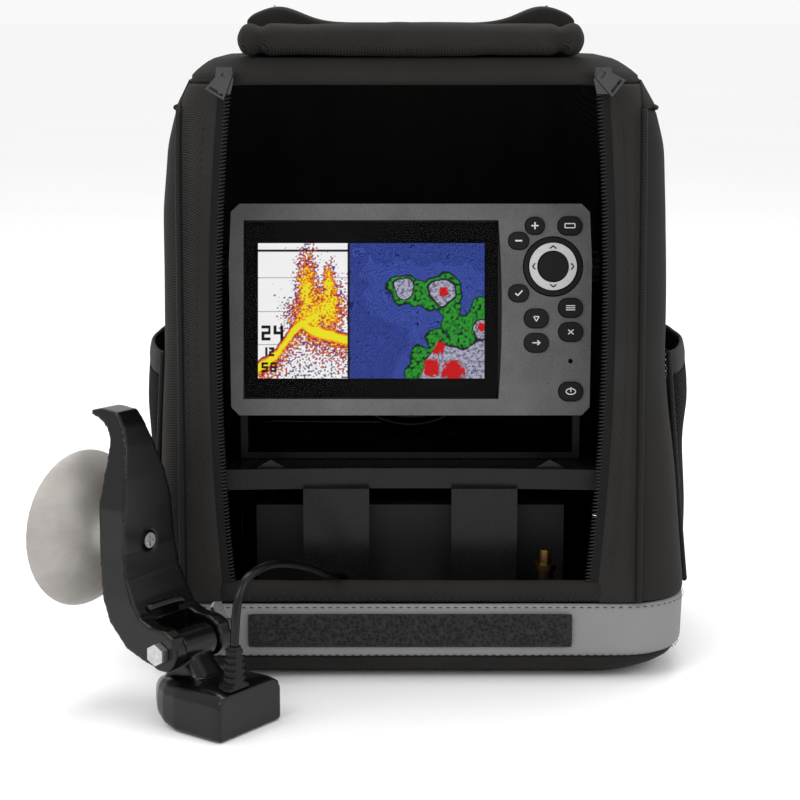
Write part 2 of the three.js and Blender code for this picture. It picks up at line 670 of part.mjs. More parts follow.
// The arm is a side view and a front view, pushed through each other.
const armSide = new THREE.Shape();
armSide.moveTo(-7, 5.3);
armSide.absarc(0, 0, CHEEK_RADIUS, radians(143), radians(308), false);
armSide.lineTo(9, -6.4);
armSide.lineTo(21, -1.8);
armSide.lineTo(31, 8.7);
armSide.lineTo(35, 19);
armSide.lineTo(38, 40);
armSide.lineTo(39, 60);
armSide.lineTo(37.5, 80);
armSide.lineTo(37.8, 89);
armSide.quadraticCurveTo(40, 97.5, 50.5, 99.6);
armSide.lineTo(51, 101.6);
armSide.lineTo(45, 103);
armSide.lineTo(35, 102);
armSide.lineTo(31, 96);
armSide.lineTo(27.5, 87);
armSide.lineTo(24.6, 74);
armSide.lineTo(23.4, 60);
armSide.lineTo(23, 40);
armSide.lineTo(21, 29);
armSide.lineTo(17, 20);
armSide.lineTo(13, 13.5);
armSide.lineTo(6, 10.5);
armSide.lineTo(-2, 10);
armSide.lineTo(-7, 7.2);
const armWidths = [[19.3, -12], [19, 20], [17, 40], [16, 60], [13, 75], [10.2, 85], [8, 94], [6.5, 106]];
const armOutline = polygon([...armWidths, ...armWidths.map(([x, z]) => [-x, z]).reverse()]);
const yokeSlot = slab([-11.5, -12, -20], [11.5, 12.5, 12]);
const window = meet(slab([-20, 14.5, -10], [20, 29, 40]), plate(roundedShape(21, 34, 6, 0, 0), 0, 40, 5));
const screwHole = bar("y", [0, CUP_HEIGHT], 2.3, 10, 60, 16);
const screwRecess = bar("y", [0, CUP_HEIGHT], 4.3, 10, 25.4, 20);
const arm = cut(
  meet(profile(armSide, -20, 20), plate(armOutline, -20, 60)),
  yokeSlot,
  window,
  pivotHole,
  screwHole,
  screwRecess,
);
add("transducer_arm", arm, "dark", float);

const boltShank = bar("x", [0, 0], 2.5, -19.6, 31, 16);
const boltHead = bar("x", [0, 0], 5, -23.4, -19.5, 6);
add("pivot_bolt", join(boltHead, boltShank), "steel", float);

const wings = [];
for (const side of [-1, 1]) {
  const wing = polygon([[0, -3], [0, 3], [side * 13, 4], [side * 14, 0], [side * 12, -2.6]]);
  const settings = { depth: 2, bevelEnabled: false };
  const blade = new THREE.ExtrudeGeometry(wing, settings);
  blade.translate(0, 0, -1);
  blade.rotateZ(-Math.PI / 2);
  blade.rotateX(radians(62));
  blade.translate(24, 0, 0);
  wings.push(toSolid(blade));
}
const nut = join(bar("x", [0, 0], 5.4, 19.6, 27, 20), ...wings);
add("wing_nut", cut(nut, bar("x", [0, 0], 2.8, 15, 40, 16)), "steel", float);

// The suction cup is a thick bell on the arm's back.
const cupGroup = new THREE.Group();
cupGroup.position.set(0, CUP_NECK, CUP_HEIGHT);
cupGroup.rotation.x = -Math.PI / 2;
float.add(cupGroup);
const cupDepth = CUP_RIM - CUP_NECK;
const bell = [
  [0, 0], [9, 0], [9, 6], [13, 9], [24, 12], [33, 18], [CUP_RADIUS, cupDepth - 1.4], [CUP_RADIUS, cupDepth],
  [34.6, cupDepth], [31, 20.5], [22, 15.5], [10, 12.5], [0, 11.8],
];
const cupSolid = cut(turned(bell, 40), bar("z", [0, 0], 2.3, -2, 7, 16));
add("suction_cup", cupSolid, "cup", cupGroup);
const screw = join(bar("y", [0, CUP_HEIGHT], 3.5, 22.8, 25.1, 20), bar("y", [0, CUP_HEIGHT], 2, 25, 46, 12));
const uprightSlot = slab([-0.4, 22, CUP_HEIGHT - 2.6], [0.4, 23.7, CUP_HEIGHT + 2.6]);
const levelSlot = slab([-2.6, 22, CUP_HEIGHT - 0.4], [2.6, 23.7, CUP_HEIGHT + 0.4]);
add("cup_screw", cut(screw, uprightSlot, levelSlot), "steel", float);

// The ribbed boot where the cable leaves the hull.
const BOOT = [-7, -32];
const BOOT_RIBS = 6;
const bootLow = -12.9;
const ribs = [bar("z", BOOT, 4, bootLow, 6, 12, 3)];
for (let i = 0; i < BOOT_RIBS; i++) {
  const low = bootLow + 0.6 + i * 3;
  ribs.push(bar("z", BOOT, 5 - i * 0.22, low, low + 1.7, 12));
}
const bootSeat = bar("z", BOOT, 7, -16, bootLow + 1.2, 12);
const boot = meet(join(...ribs, bootSeat), slab([-40, -34.8, -13], [40, 0, 20]));
add("cable_boot", cut(boot, hull.translate([0, 0, GAP])), "rubber", float);

// ---- the cable ----
const BOOT_TOP = [-77.2, -166.5, 40.4];
const CABLE_ROUTE = [
  BOOT_TOP, [-76.6, -166.4, 47], [-75, -166, 56], [-73, -164, 65], [-68.2, -155, 70], [-61.9, -142, 70],
  [-54.4, -128, 67], [-46.2, -112, 61],
  [-38.4, -96, 53.2], [-35, -88, 50.8], [-32, -80, 49.4], [-30, -74, 47],
  [-30, -69, 36], [-34, -65, 20], [-42, -63, 11.6],
  [-54, -61, 10.8], [-74, -56, 10.8], [-88, -42, 10.8], [-92, -20, 10.8], [-92, 10, 10.8], [-91, 34, 12],
  [-90, 50, 22], [-90, 57, 40], [-90, 58, 70], [-88, 58, 88], [-78, 58, 96.4], [-60, 58, 96.4],
  [-40, 58, 96.2], [-21, 58, 96.1],
];
add("transducer_cable", tube(CABLE_ROUTE, CABLE_RADIUS, 76), "rubber");

const coilGroup = new THREE.Group();
coilGroup.position.set(...COIL_CENTRE);
coilGroup.rotation.x = Math.PI / 2;
fishFinder.add(coilGroup);
const halfCoil = COIL_DEPTH / 2;
const coilRing = [
  [COIL_INNER + 3, -halfCoil], [COIL_OUTER - 4, -halfCoil], [COIL_OUTER, -halfCoil + 4],
  [COIL_OUTER, halfCoil - 4], [COIL_OUTER - 4, halfCoil], [COIL_INNER + 3, halfCoil],
  [COIL_INNER, halfCoil - 3], [COIL_INNER, -halfCoil + 3], [COIL_INNER + 3, -halfCoil],
];
add("cable_coil", turned(coilRing, 36), "rubber", coilGroup);

const tilt = radians(HEAD_TILT);
function headToCase([x, y, z]) {
  const [centreX, centreY, centreZ] = HEAD_CENTRE;
  return [
    centreX + x,
    centreY + y * Math.cos(tilt) + z * Math.sin(tilt),
    centreZ - y * Math.sin(tilt) + z * Math.cos(tilt),
  ];
}
const plugBack = headToCase([CONNECTOR[0], PLUG_END + GAP, CONNECTOR[1]]);
const plugNext = headToCase([CONNECTOR[0], PLUG_END + 8, CONNECTOR[1]]);
const TAIL_ROUTE = [plugBack, plugNext, [36, 55, 184], [40, 58, 171], [41, 58, 157]];
add("cable_tail", tube(TAIL_ROUTE, CABLE_RADIUS, 12), "rubber");

export default fishFinder;
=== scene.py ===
import math

import bpy
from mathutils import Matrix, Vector, noise


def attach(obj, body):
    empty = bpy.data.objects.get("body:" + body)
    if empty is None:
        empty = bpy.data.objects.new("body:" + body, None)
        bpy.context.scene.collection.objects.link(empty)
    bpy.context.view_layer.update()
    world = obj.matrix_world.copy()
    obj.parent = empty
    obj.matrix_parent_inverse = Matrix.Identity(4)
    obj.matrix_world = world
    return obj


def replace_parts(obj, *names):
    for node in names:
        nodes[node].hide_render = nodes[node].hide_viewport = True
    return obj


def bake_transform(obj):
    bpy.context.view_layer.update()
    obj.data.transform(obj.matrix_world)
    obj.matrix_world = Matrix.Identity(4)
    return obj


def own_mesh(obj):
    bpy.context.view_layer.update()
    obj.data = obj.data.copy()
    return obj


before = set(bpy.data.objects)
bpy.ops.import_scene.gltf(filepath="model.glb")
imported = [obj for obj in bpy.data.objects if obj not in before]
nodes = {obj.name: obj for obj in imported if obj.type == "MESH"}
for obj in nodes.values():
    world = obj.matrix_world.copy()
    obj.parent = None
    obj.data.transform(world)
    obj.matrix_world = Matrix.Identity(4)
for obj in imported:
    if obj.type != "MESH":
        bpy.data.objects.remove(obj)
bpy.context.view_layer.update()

# Lengths in this script are in millimetres until to_metres.
MM = 0.001


def to_metres(point):
    return Vector(point) * MM


# ---------------------------------------------------------------- camera
camera_data = bpy.data.cameras.new("camera")
camera_data.lens = 96.35
camera_data.sensor_width = 36
camera = bpy.data.objects.new("camera", camera_data)
bpy.context.collection.objects.link(camera)
camera.location = (-0.005, -1.065, 0.314)
camera.rotation_euler = (math.radians(79.6), 0, 0)
bpy.context.scene.camera = camera


# ---------------------------------------------------------------- materials
class Paint:
    """A node material built round one Principled shader, in the object's own coordinates."""

    def __init__(self, name, **sockets):
        self.material = bpy.data.materials.new(name)
        self.material.use_nodes = True
        self.tree = self.material.node_tree
        self.shader = self.tree.nodes["Principled BSDF"]
        self.place = self.add("ShaderNodeTexCoord").outputs["Object"]
        for socket, value in sockets.items():
            self.shader.inputs[socket.replace("_", " ")].default_value = value

    def add(self, kind, **values):
        node = self.tree.nodes.new(kind)
        for key, value in values.items():
            setattr(node, key, value)
        return node

    def link(self, source, target):
        self.tree.links.new(source, target)

    def noise(self, scale, detail=3.0, roughness=0.55):
        node = self.add("ShaderNodeTexNoise")
        node.inputs["Scale"].default_value = scale
        node.inputs["Detail"].default_value = detail
        node.inputs["Roughness"].default_value = roughness
        self.link(self.place, node.inputs["Vector"])
        return node.outputs["Fac"]

    def cells(self, scale, feature="F1"):
        node = self.add("ShaderNodeTexVoronoi", feature=feature)
        node.inputs["Scale"].default_value = scale
        self.link(self.place, node.inputs["Vector"])
        return node.outputs["Distance"]

    def bands(self, pitch, turn=(0, 0, 0), wobble=0.6, direction="DIAGONAL"):
        """Ridges this many millimetres apart."""
        mapping = self.add("ShaderNodeMapping")
        mapping.inputs["Rotation"].default_value = turn
        self.link(self.place, mapping.inputs["Vector"])
        node = self.add("ShaderNodeTexWave", bands_direction=direction)
        spread = math.sqrt(2) if direction == "DIAGONAL" else 1
        node.inputs["Scale"].default_value = math.pi / (5 * pitch * MM * spread)
        node.inputs["Distortion"].default_value = wobble
        node.inputs["Detail"].default_value = 1.5
        self.link(mapping.outputs["Vector"], node.inputs["Vector"])
        return node.outputs["Fac"]

    def blend(self, first, second, share):
        node = self.add("ShaderNodeMix")
        node.inputs["Factor"].default_value = share
        self.link(first, node.inputs[2])
        self.link(second, node.inputs[3])
        return node.outputs[0]

    def colours(self, height, low, high, start=0.25, end=0.75):
        ramp = self.add("ShaderNodeValToRGB")
        ramp.color_ramp.elements[0].position = start
        ramp.color_ramp.elements[1].position = end
        ramp.color_ramp.elements[0].color = (*low, 1)
        ramp.color_ramp.elements[1].color = (*high, 1)
        self.link(height, ramp.inputs["Fac"])
        self.link(ramp.outputs["Color"], self.shader.inputs["Base Color"])

    def rough(self, height, low, high):
        node = self.add("ShaderNodeMapRange")
        node.inputs["To Min"].default_value = low
        node.inputs["To Max"].default_value = high
        self.link(height, node.inputs["Value"])
        self.link(node.outputs["Result"], self.shader.inputs["Roughness"])

    def bump(self, height, strength, depth):
        node = self.add("ShaderNodeBump")
        node.inputs["Strength"].default_value = strength
        node.inputs["Distance"].default_value = depth * MM
        self.link(height, node.inputs["Height"])
        self.link(node.outputs["Normal"], self.shader.inputs["Normal"])


def grey(value, warm=0.0):
    """A linear grey from an sRGB level of 0 to 255."""
    share = value / 255
    level = share / 12.92 if share <= 0.04045 else ((share + 0.055) / 1.055) ** 2.4
    return (level * (1 + warm), level, level * (1 - warm))


def cloth(name, low, high, pitch, relief=0.5, sheen=0.02):
    paint = Paint(name, Sheen_Weight=sheen, Sheen_Roughness=0.4, Specular_IOR_Level=0.12)
    twill = paint.bands(pitch)
    fibre = paint.noise(1400, 4)
    wear = paint.noise(22, 3)
    height = paint.blend(twill, fibre, 0.4)
    paint.colours(paint.blend(height, wear, 0.3), low, high, 0.2, 0.8)
    paint.rough(fibre, 0.72, 0.95)
    paint.bump(height, relief, 0.4)
    return paint.material


def plastic(name, low, high, grain=1800, relief=0.12, rough=(0.3, 0.45), **sockets):
    paint = Paint(name, **sockets)
    speckle = paint.noise(grain, 3)
    smudge = paint.noise(40, 3)
    paint.colours(paint.blend(speckle, smudge, 0.35), low, high, 0.35, 0.65)
    paint.rough(smudge, *rough)
    paint.bump(speckle, relief, 0.1)
    return paint.material


def loops(name, low, high):
    paint = Paint(name, Sheen_Weight=0.05, Specular_IOR_Level=0.15)
    curls = paint.cells(620)
    fibre = paint.noise(2200, 5)
    height = paint.blend(curls, fibre, 0.45)
    paint.colours(height, low, high, 0.2, 0.7)
    paint.rough(fibre, 0.8, 1.0)
    paint.bump(height, 1.0, 0.9)
    return paint.material


def ribbon(name, low, high, pitch):
    paint = Paint(name, Sheen_Weight=0.02, Specular_IOR_Level=0.15)
    ribs = paint.bands(pitch, wobble=0.2, direction="Z")
    fibre = paint.noise(1500, 4)
    height = paint.blend(ribs, fibre, 0.35)
    paint.colours(height, low, high)
    paint.rough(fibre, 0.6, 0.85)
    paint.bump(height, 0.7, 0.5)
    return paint.material


def metal(name, low, high, rough=(0.22, 0.4)):
    paint = Paint(name, Metallic=1.0)
    scratches = paint.noise(900, 5, 0.7)
    paint.colours(scratches, low, high)
    paint.rough(scratches, *rough)
    paint.bump(scratches, 0.12, 0.05)
    return paint.material


CASE = cloth("case_twill", grey(10, 0.08), grey(44, 0.08), 0.95)
STRIP = cloth("strip_twill", grey(12, 0.08), grey(50, 0.08), 0.95)
LINING = cloth("lining_cloth", grey(8, 0.08), grey(36, 0.08), 1.1, 0.3)
BAND = cloth("band_cloth", grey(112), grey(134), 0.8, 0.2, 0.05)
NET = ribbon("net_cord", grey(10), grey(40), 0.8)
LOOP = loops("loop_pile", grey(4), grey(46))
WEBBING = ribbon("webbing", grey(8), grey(38), 1.4)
TAPE = ribbon("zip_tape", grey(8), grey(26), 0.9)
THREAD = ribbon("thread", grey(28), grey(52), 0.5)
COIL = plastic("zip_coil", grey(8), grey(26), 2400, 0.1, (0.35, 0.5), Specular_IOR_Level=0.3)
GUNMETAL = plastic("gunmetal", grey(10), grey(22), 300, 0.05, (0.08, 0.2), Specular_IOR_Level=1.0)
STEEL = metal("steel", grey(150), grey(205))
BRASS = metal("brass", (0.12, 0.07, 0.02), (0.3, 0.19, 0.07))
BEZEL = plastic("bezel", grey(66), grey(100), 2600, 0.25, (0.45, 0.6), Specular_IOR_Level=0.3)
DARK = plastic("dark_plastic", grey(6), grey(16), 2200, 0.15, (0.35, 0.55), Specular_IOR_Level=0.25)
TRAY = plastic("tray", grey(12), grey(24), 1600, 0.1, (0.2, 0.32), Specular_IOR_Level=0.2)
KEY = plastic("key", grey(8), grey(18), 2600, 0.2, (0.5, 0.65), Specular_IOR_Level=0.2)
RING = plastic("pad_ring", grey(176), grey(204), 2600, 0.1, (0.4, 0.5))
ICON = plastic("print", grey(196), grey(222), 2600, 0.05, (0.5, 0.6))
HULL = plastic("hull", grey(3), grey(10), 2000, 0.15, (0.16, 0.28), Specular_IOR_Level=0.3)
CABLE = plastic("cable", grey(2), grey(7), 1200, 0.08, (0.2, 0.32), Specular_IOR_Level=0.25)
RUBBER = plastic("rubber", grey(6), grey(16), 1500, 0.2, (0.5, 0.7), Specular_IOR_Level=0.25)
CUP = plastic("cup", grey(140, 0.07), grey(156, 0.07), 90, 0.02, (0.35, 0.45))
BATTERY = plastic("battery", grey(12), grey(24), 1500, 0.2, (0.4, 0.6), Specular_IOR_Level=0.2)
BOARD = plastic("board", (0.005, 0.03, 0.01), (0.01, 0.06, 0.025), 900, 0.1)
GLASS = plastic("glass", grey(250), grey(255), 60, 0.0, (0.0, 0.02), Transmission_Weight=1.0, IOR=1.1)
PANEL = plastic("panel", grey(1), grey(4), 900, 0.02, (0.5, 0.6), Specular_IOR_Level=0.03)


def coat(node, material, *modifiers):
    """Gives a CAD node its finish."""
    thing = nodes[node]
    for slot in thing.material_slots:
        slot.material = material
    for kind, settings in modifiers:
        modifier = thing.modifiers.new(kind.lower(), kind)
        for key, value in settings.items():
            setattr(modifier, key, value)


# ---------------------------------------------------------------- mesh tools
def piece(name, points, faces, material, body, smooth=True):
    mesh = bpy.data.meshes.new(name)
    mesh.from_pydata([tuple(to_metres(p)) for p in points], [], faces)
    mesh.validate()
    mesh.materials.append(material)
    for polygon in mesh.polygons:
        polygon.use_smooth = smooth
    thing = bpy.data.objects.new(name, mesh)
    bpy.context.collection.objects.link(thing)
    if body:
        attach(thing, body)
    return thing


def lattice(rows, closed=False):
    """Points and faces of a grid of rows."""
    width = len(rows[0])
    points = [p for row in rows for p in row]
    faces = []
    for r in range(len(rows) - 1):
        for c in range(width if closed else width - 1):
            n = (c + 1) % width
            faces.append((r * width + c, r * width + n, (r + 1) * width + n, (r + 1) * width + c))
    return points, faces


def soften(thing):
    modifier = thing.modifiers.new("soft", "SUBSURF")
    modifier.levels = 1
    modifier.render_levels = 1


def thicken(thing, depth, soft=True, offset=-1.0):
    """Gives a surface the thickness of its cloth; offset -1 is inwards, 0 to both sides."""
    solid = thing.modifiers.new("thickness", "SOLIDIFY")
    solid.thickness = depth * MM
    solid.offset = offset
    if soft:
        soften(thing)
    return thing


def smooth_route(points, steps):
    """Catmull-Rom points through a route."""
    route = [Vector(p) for p in points]
    ends = [2 * route[0] - route[1]] + route + [2 * route[-1] - route[-2]]
    line = []
    for i in range(1, len(ends) - 2):
        a, b, c, d = ends[i - 1:i + 3]
        for k in range(steps):
            t = k / steps
            line.append(0.5 * (2 * b + (c - a) * t + (2 * a - 5 * b + 4 * c - d) * t * t
                               + (3 * b - a - 3 * c + d) * t ** 3))
    line.append(route[-1])
    return line


def tube_rows(line, radius, sides=10, flat=1.0):
    """Rings round a line; radius may be a function of the share along it."""
    rows = []
    side = None
    for i, point in enumerate(line):
        ahead = (Vector(line[min(i + 1, len(line) - 1)]) - Vector(line[max(i - 1, 0)])).normalized()
        if side is None:
            side = ahead.orthogonal().normalized()
        side = (side - ahead * side.dot(ahead)).normalized()
        other = ahead.cross(side)
        size = radius(i / (len(line) - 1)) if callable(radius) else radius
        rows.append([Vector(point) + (side * math.cos(2 * math.pi * k / sides)
                     + other * math.sin(2 * math.pi * k / sides) * flat) * size for k in range(sides)])
    return rows


def tube(name, line, radius, material, body, sides=10, flat=1.0):
    rows = tube_rows(line, radius, sides, flat)
    points, faces = lattice(rows, True)
    last = (len(rows) - 1) * sides
    faces.append(tuple(range(sides - 1, -1, -1)))
    faces.append(tuple(range(last, last + sides)))
    return piece(name, points, faces, material, body)


def dashes(name, line, length, gap, size, material, body):
    """A row of sewn stitches along a line."""
    line = [Vector(p) for p in line]
    points = []
    faces = []
    along = 0.0
    due = gap
    for a, b in zip(line, line[1:]):
        step = (b - a).length
        while along + step >= due:
            middle = a.lerp(b, (due - along) / step if step else 0)
            ahead = (b - a).normalized()
            side = ahead.orthogonal().normalized()
            other = ahead.cross(side)
            base = len(points)
            points += [middle - ahead * length / 2, middle + ahead * length / 2]
            points += [middle + side * size, middle + other * size]
            points += [middle - side * size, middle - other * size]
            for k in range(4):
                n = (k + 1) % 4
                faces.append((base, base + 2 + n, base + 2 + k))
                faces.append((base + 1, base + 2 + k, base + 2 + n))
            due += length + gap
        along += step
    return piece(name, points, faces, material, body)


# ---------------------------------------------------------------- head frame
TILT = math.radians(10.4)


def on_head(x, y, z):
    return Vector((x, -45 + y * math.cos(TILT) + z * math.sin(TILT),
                   171 - y * math.sin(TILT) + z * math.cos(TILT)))


# ---------------------------------------------------------------- transducer cable
CABLE_ROUTE = [
    (-77.2, -166.5, 40.4), (-76.8, -166.4, 47), (-76.3, -166, 54), (-75, -164, 62), (-72, -159, 67.9),
    (-67.5, -151.5, 70.5), (-61.5, -141, 70.3), (-54.4, -128, 67), (-46.2, -112, 61), (-38.4, -96, 53.2),
    (-34, -85, 50.4), (-31.4, -78.5, 47), (-29.9, -74.6, 41.5), (-29.3, -73.2, 34.8), (-30, -71, 26.8),
    (-32.1, -69, 18.8), (-38, -66, 12.9), (-46, -63, 10.8), (-56, -60.5, 10.8), (-74, -54, 10.8),
    (-87, -40, 10.8), (-92, -20, 10.8), (-92, 10, 10.8), (-91.5, 30, 12), (-90.5, 44, 18), (-90, 54, 32),
    (-90, 58, 50), (-90, 58, 70), (-90, 58, 80.4), (-87.9, 58, 88.4), (-82, 58, 94.3), (-74, 58, 96.4),
    (-60, 58, 96.4), (-40, 58, 96.2), (-21, 58, 96.1),
]
COIL_MIDDLE = (0, 136.6)
# turns made so far, radius, distance back: inwards layer by layer, then out again across the front
COIL_PLAN = [
    (0, 41, 58), (2.4, 41, 68), (2.7, 36.9, 68), (6.5, 36.9, 52.1), (6.8, 32.8, 52.1), (10.6, 32.8, 68),
    (10.9, 28.7, 68), (14.7, 28.7, 52.1), (15, 24.6, 52.1), (18.8, 24.6, 68), (19.1, 20.5, 68),
    (22.9, 20.5, 52.1), (23.2, 20.5, 48), (28.25, 41, 48),
]
STEPS_PER_TURN = 32


def coil_points():
    points = []
    for (t0, r0, y0), (t1, r1, y1) in zip(COIL_PLAN, COIL_PLAN[1:]):
        count = max(1, round((t1 - t0) * STEPS_PER_TURN))
        for k in range(count):
            share = k / count
            turn = 2 * math.pi * (t0 + (t1 - t0) * share)
            radius = r0 + (r1 - r0) * share
            points.append(Vector((COIL_MIDDLE[0] + radius * math.sin(turn), y0 + (y1 - y0) * share,
                                  COIL_MIDDLE[1] - radius * math.cos(turn))))
    points.append(Vector((41, 48, COIL_MIDDLE[1])))
    return points


coil_end = smooth_route([(41, 48, 136.6), (41.1, 48.9, 142), (41.3, 53, 149.6), (41, 58, 157)], 6)[1:]
cable_line = smooth_route(CABLE_ROUTE + [(0, 58, 95.6)], 6)[:-1] + coil_points() + coil_end
curve = bpy.data.curves.new("transducer_cable_line", "CURVE")
curve.dimensions = "3D"
curve.bevel_depth = 0.002
curve.bevel_resolution = 3
curve.use_fill_caps = True
spline = curve.splines.new("POLY")
spline.points.add(len(cable_line) - 1)
for spot, point in zip(spline.points, cable_line):
    spot.co = (*to_metres(point), 1)
curve.materials.append(CABLE)
cable = bpy.data.objects.new("transducer_cable_line", curve)
bpy.context.collection.objects.link(cable)
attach(cable, "case")
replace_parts(cable, "transducer_cable", "cable_coil")

TAIL_ROUTE = [(41, 58, 157), (40, 58, 171), (36, 55, 184), on_head(32, 85, 38), on_head(32, 77.3, 38)]
tail_line = smooth_route(TAIL_ROUTE, 8)
cable_tail = tube("cable_tail_line", tail_line, 2.0, CABLE, None, 12)
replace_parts(cable_tail, "cable_tail")
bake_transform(cable_tail)


# ---------------------------------------------------------------- case shell
def front_at(z):
    return -90 + (z - 40) * 0.045


SECTIONS = [
    (0, -110, 113, -78, 78, 26), (6, -119, 124, -86, 84, 30), (14, -123, 131, front_at(14), 88, 30),
    (40, -124, 132, front_at(40), 90, 30), (80, -121, 128, front_at(80), 90, 30),
    (150, -117, 122, front_at(150), 88, 30), (220, -117, 121, front_at(220), 82, 30),
    (250, -114.5, 119, front_at(250), 76, 29), (270, -109, 114, front_at(270), 68, 28),
    (282, -103, 107, front_at(282), 58, 27), (291, -93, 95, -73, 48, 26),
]
SEAM = 107
CLOTH = 3.5  # thickness of the padded case fabric
SEAM_BOTTOM, SEAM_TOP = 37.5, 268


def edge_at(side, z):
    """How far out the case's side is at a height."""
    return abs(section(z)[0 if side < 0 else 1])


def section(z):
    """Left, right, front, back and corner radius of the case at a height."""
    for low, high in zip(SECTIONS, SECTIONS[1:]):
        if z <= high[0]:
            share = (z - low[0]) / (high[0] - low[0])
            return [low[k] + (high[k] - low[k]) * share for k in range(1, 6)]
    return list(SECTIONS[-1][1:])


def corner(middle_x, middle_y, radius, start, end, count):
    return [Vector((middle_x + radius * math.cos(math.radians(start + (end - start) * k / count)),
                    middle_y + radius * math.sin(math.radians(start + (end - start) * k / count)), 0))
            for k in range(count + 1)]


def seam_angle(edge, radius):
    """How far round a corner the seam lies, in degrees from the side."""
    share = (SEAM - (abs(edge) - radius)) / radius
    return math.degrees(math.acos(max(-1.0, min(1.0, share))))


def side_row(side, z, inset=0.0):
    """Points from the front seam round one side to the back seam."""
    _, _, front, back, radius = section(z)
    edge = edge_at(side, z)
    turn = seam_angle(edge, radius)
    radius -= inset
    middle = edge - inset - radius
    points = corner(middle, front + inset + radius, radius, -turn, 0, 8)
    low = points[-1].y
    high = back - inset - radius
    points += [Vector((edge - inset, low + (high - low) * k / 22, 0)) for k in range(1, 22)]
    points += corner(middle, high, radius, 0, turn, 8)
    return [Vector((side * p.x, p.y, z)) for p in points]


def back_row(z, inset=0.0):
    left, right, _, back, radius = section(z)
    points = []
    for edge, side in ((right, 1), (left, -1)):
        turn = seam_angle(edge, radius)
        middle = abs(edge) - radius
        arc = corner(middle, back - radius, radius - inset, turn, 90, 6)
        arc = [Vector((side * p.x, p.y, z)) for p in arc]
        points.append(arc if side > 0 else arc[::-1])
    start, end = points[0][-1], points[1][0]
    middle = [start.lerp(end, k / 36) for k in range(1, 36)]
    return points[0] + middle + points[1]


def full_row(z, inset=0.0):
    left, right, front, back, radius = section(z)
    radius = max(radius - inset, 1)
    left, right, front, back = left + inset, right - inset, front + inset, back - inset
    points = corner(right - radius, front + radius, radius, -90, 0, 8)
    points += [Vector((right, front + radius + (back - front - 2 * radius) * k / 20, 0))
               for k in range(1, 20)]
    points += corner(right - radius, back - radius, radius, 0, 90, 8)
    points += [Vector((right - radius + (left - right + 2 * radius) * k / 30, back, 0)) for k in range(1, 30)]
    points += corner(left + radius, back - radius, radius, 90, 180, 8)
    points += [Vector((left, back - radius + (front - back + 2 * radius) * k / 20, 0)) for k in range(1, 20)]
    points += corner(left + radius, front + radius, radius, 180, 270, 8)
    points += [Vector((left + radius + (right - left - 2 * radius) * k / 30, front, 0)) for k in range(1, 30)]
    return [Vector((p.x, p.y, z)) for p in points]


def sag(point, outward, size=1.0, seed=0.0):
    """Cloth never lies quite flat: a slow swell with smaller creases on it."""
    spot = Vector((point.x, point.y, point.z)) * 0.018 + Vector((seed, 0, seed))
    slow = noise.noise(spot)
    crease = noise.noise(Vector((point.x * 0.05, point.y * 0.05, point.z * 0.02 + seed)))
    return point + outward * size * (slow * 1.3 + crease * 0.8)


def from_ends(i, row):
    """Nothing at a row's ends, rising to 1 four points in, so that seams stay where they are sewn."""
    return min(1, min(i, len(row) - 1 - i) / 4)


def heights(low, high, count):
    """Evenly spaced values, both ends included."""
    return [low + (high - low) * k / count for k in range(count + 1)]


for side, word in ((-1, "left"), (1, "right")):
    rows = []
    for z in heights(SEAM_BOTTOM, SEAM_TOP, 46):
        row = side_row(side, z)
        swell = math.sin(math.pi * (z - SEAM_BOTTOM) / (SEAM_TOP - SEAM_BOTTOM))
        row = [sag(p, Vector((side, 0, 0)), 0.9 * min(1, swell * 3) * from_ends(i, row), side)
               for i, p in enumerate(row)]
        rows.append(row if side > 0 else row[::-1])
    points, faces = lattice(rows)
    panel = piece(f"{word}_side_cloth", points, faces, CASE, "case")
    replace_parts(thicken(panel, CLOTH), f"{word}_side_panel")

for side, word in ((-1, "left"), (1, "right")):
    line = [side_row(side, z)[-1] for z in heights(38, SEAM_TOP, 70)]
    tube(f"{word}_back_piping", line, 1.9, WEBBING, "case", 8)

rows = []
for z in heights(SEAM_BOTTOM, SEAM_TOP, 46):
    row = back_row(z)
    rows.append([sag(p, Vector((0, 1, 0)), from_ends(i, row), 5) for i, p in enumerate(row)])
points, faces = lattice(rows)
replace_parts(thicken(piece("back_cloth", points, faces, CASE, "case"), CLOTH), "back_panel")


# ---------------------------------------------------------------- front strips and zips
BOW = {"left": (91, 160), "right": (92, 175)}
ZIP_INSET = 1.8  # the teeth lie behind the face of the sliders


def zip_x(word, z):
    bow, middle = BOW[word]
    return bow - 1200 + math.sqrt(1200 ** 2 - (z - middle) ** 2)


def front_point(side, x, z):
    """A point on the front or round its corner, x being its distance from the middle."""
    _, _, front, _, radius = section(z)
    edge = edge_at(side, z)
    bend = x - (edge - radius)
    if bend <= 0:
        return Vector((side * x, front, z))
    bend = min(bend, radius * 0.9999)
    return Vector((side * x, front + radius - math.sqrt(radius ** 2 - bend ** 2), z))


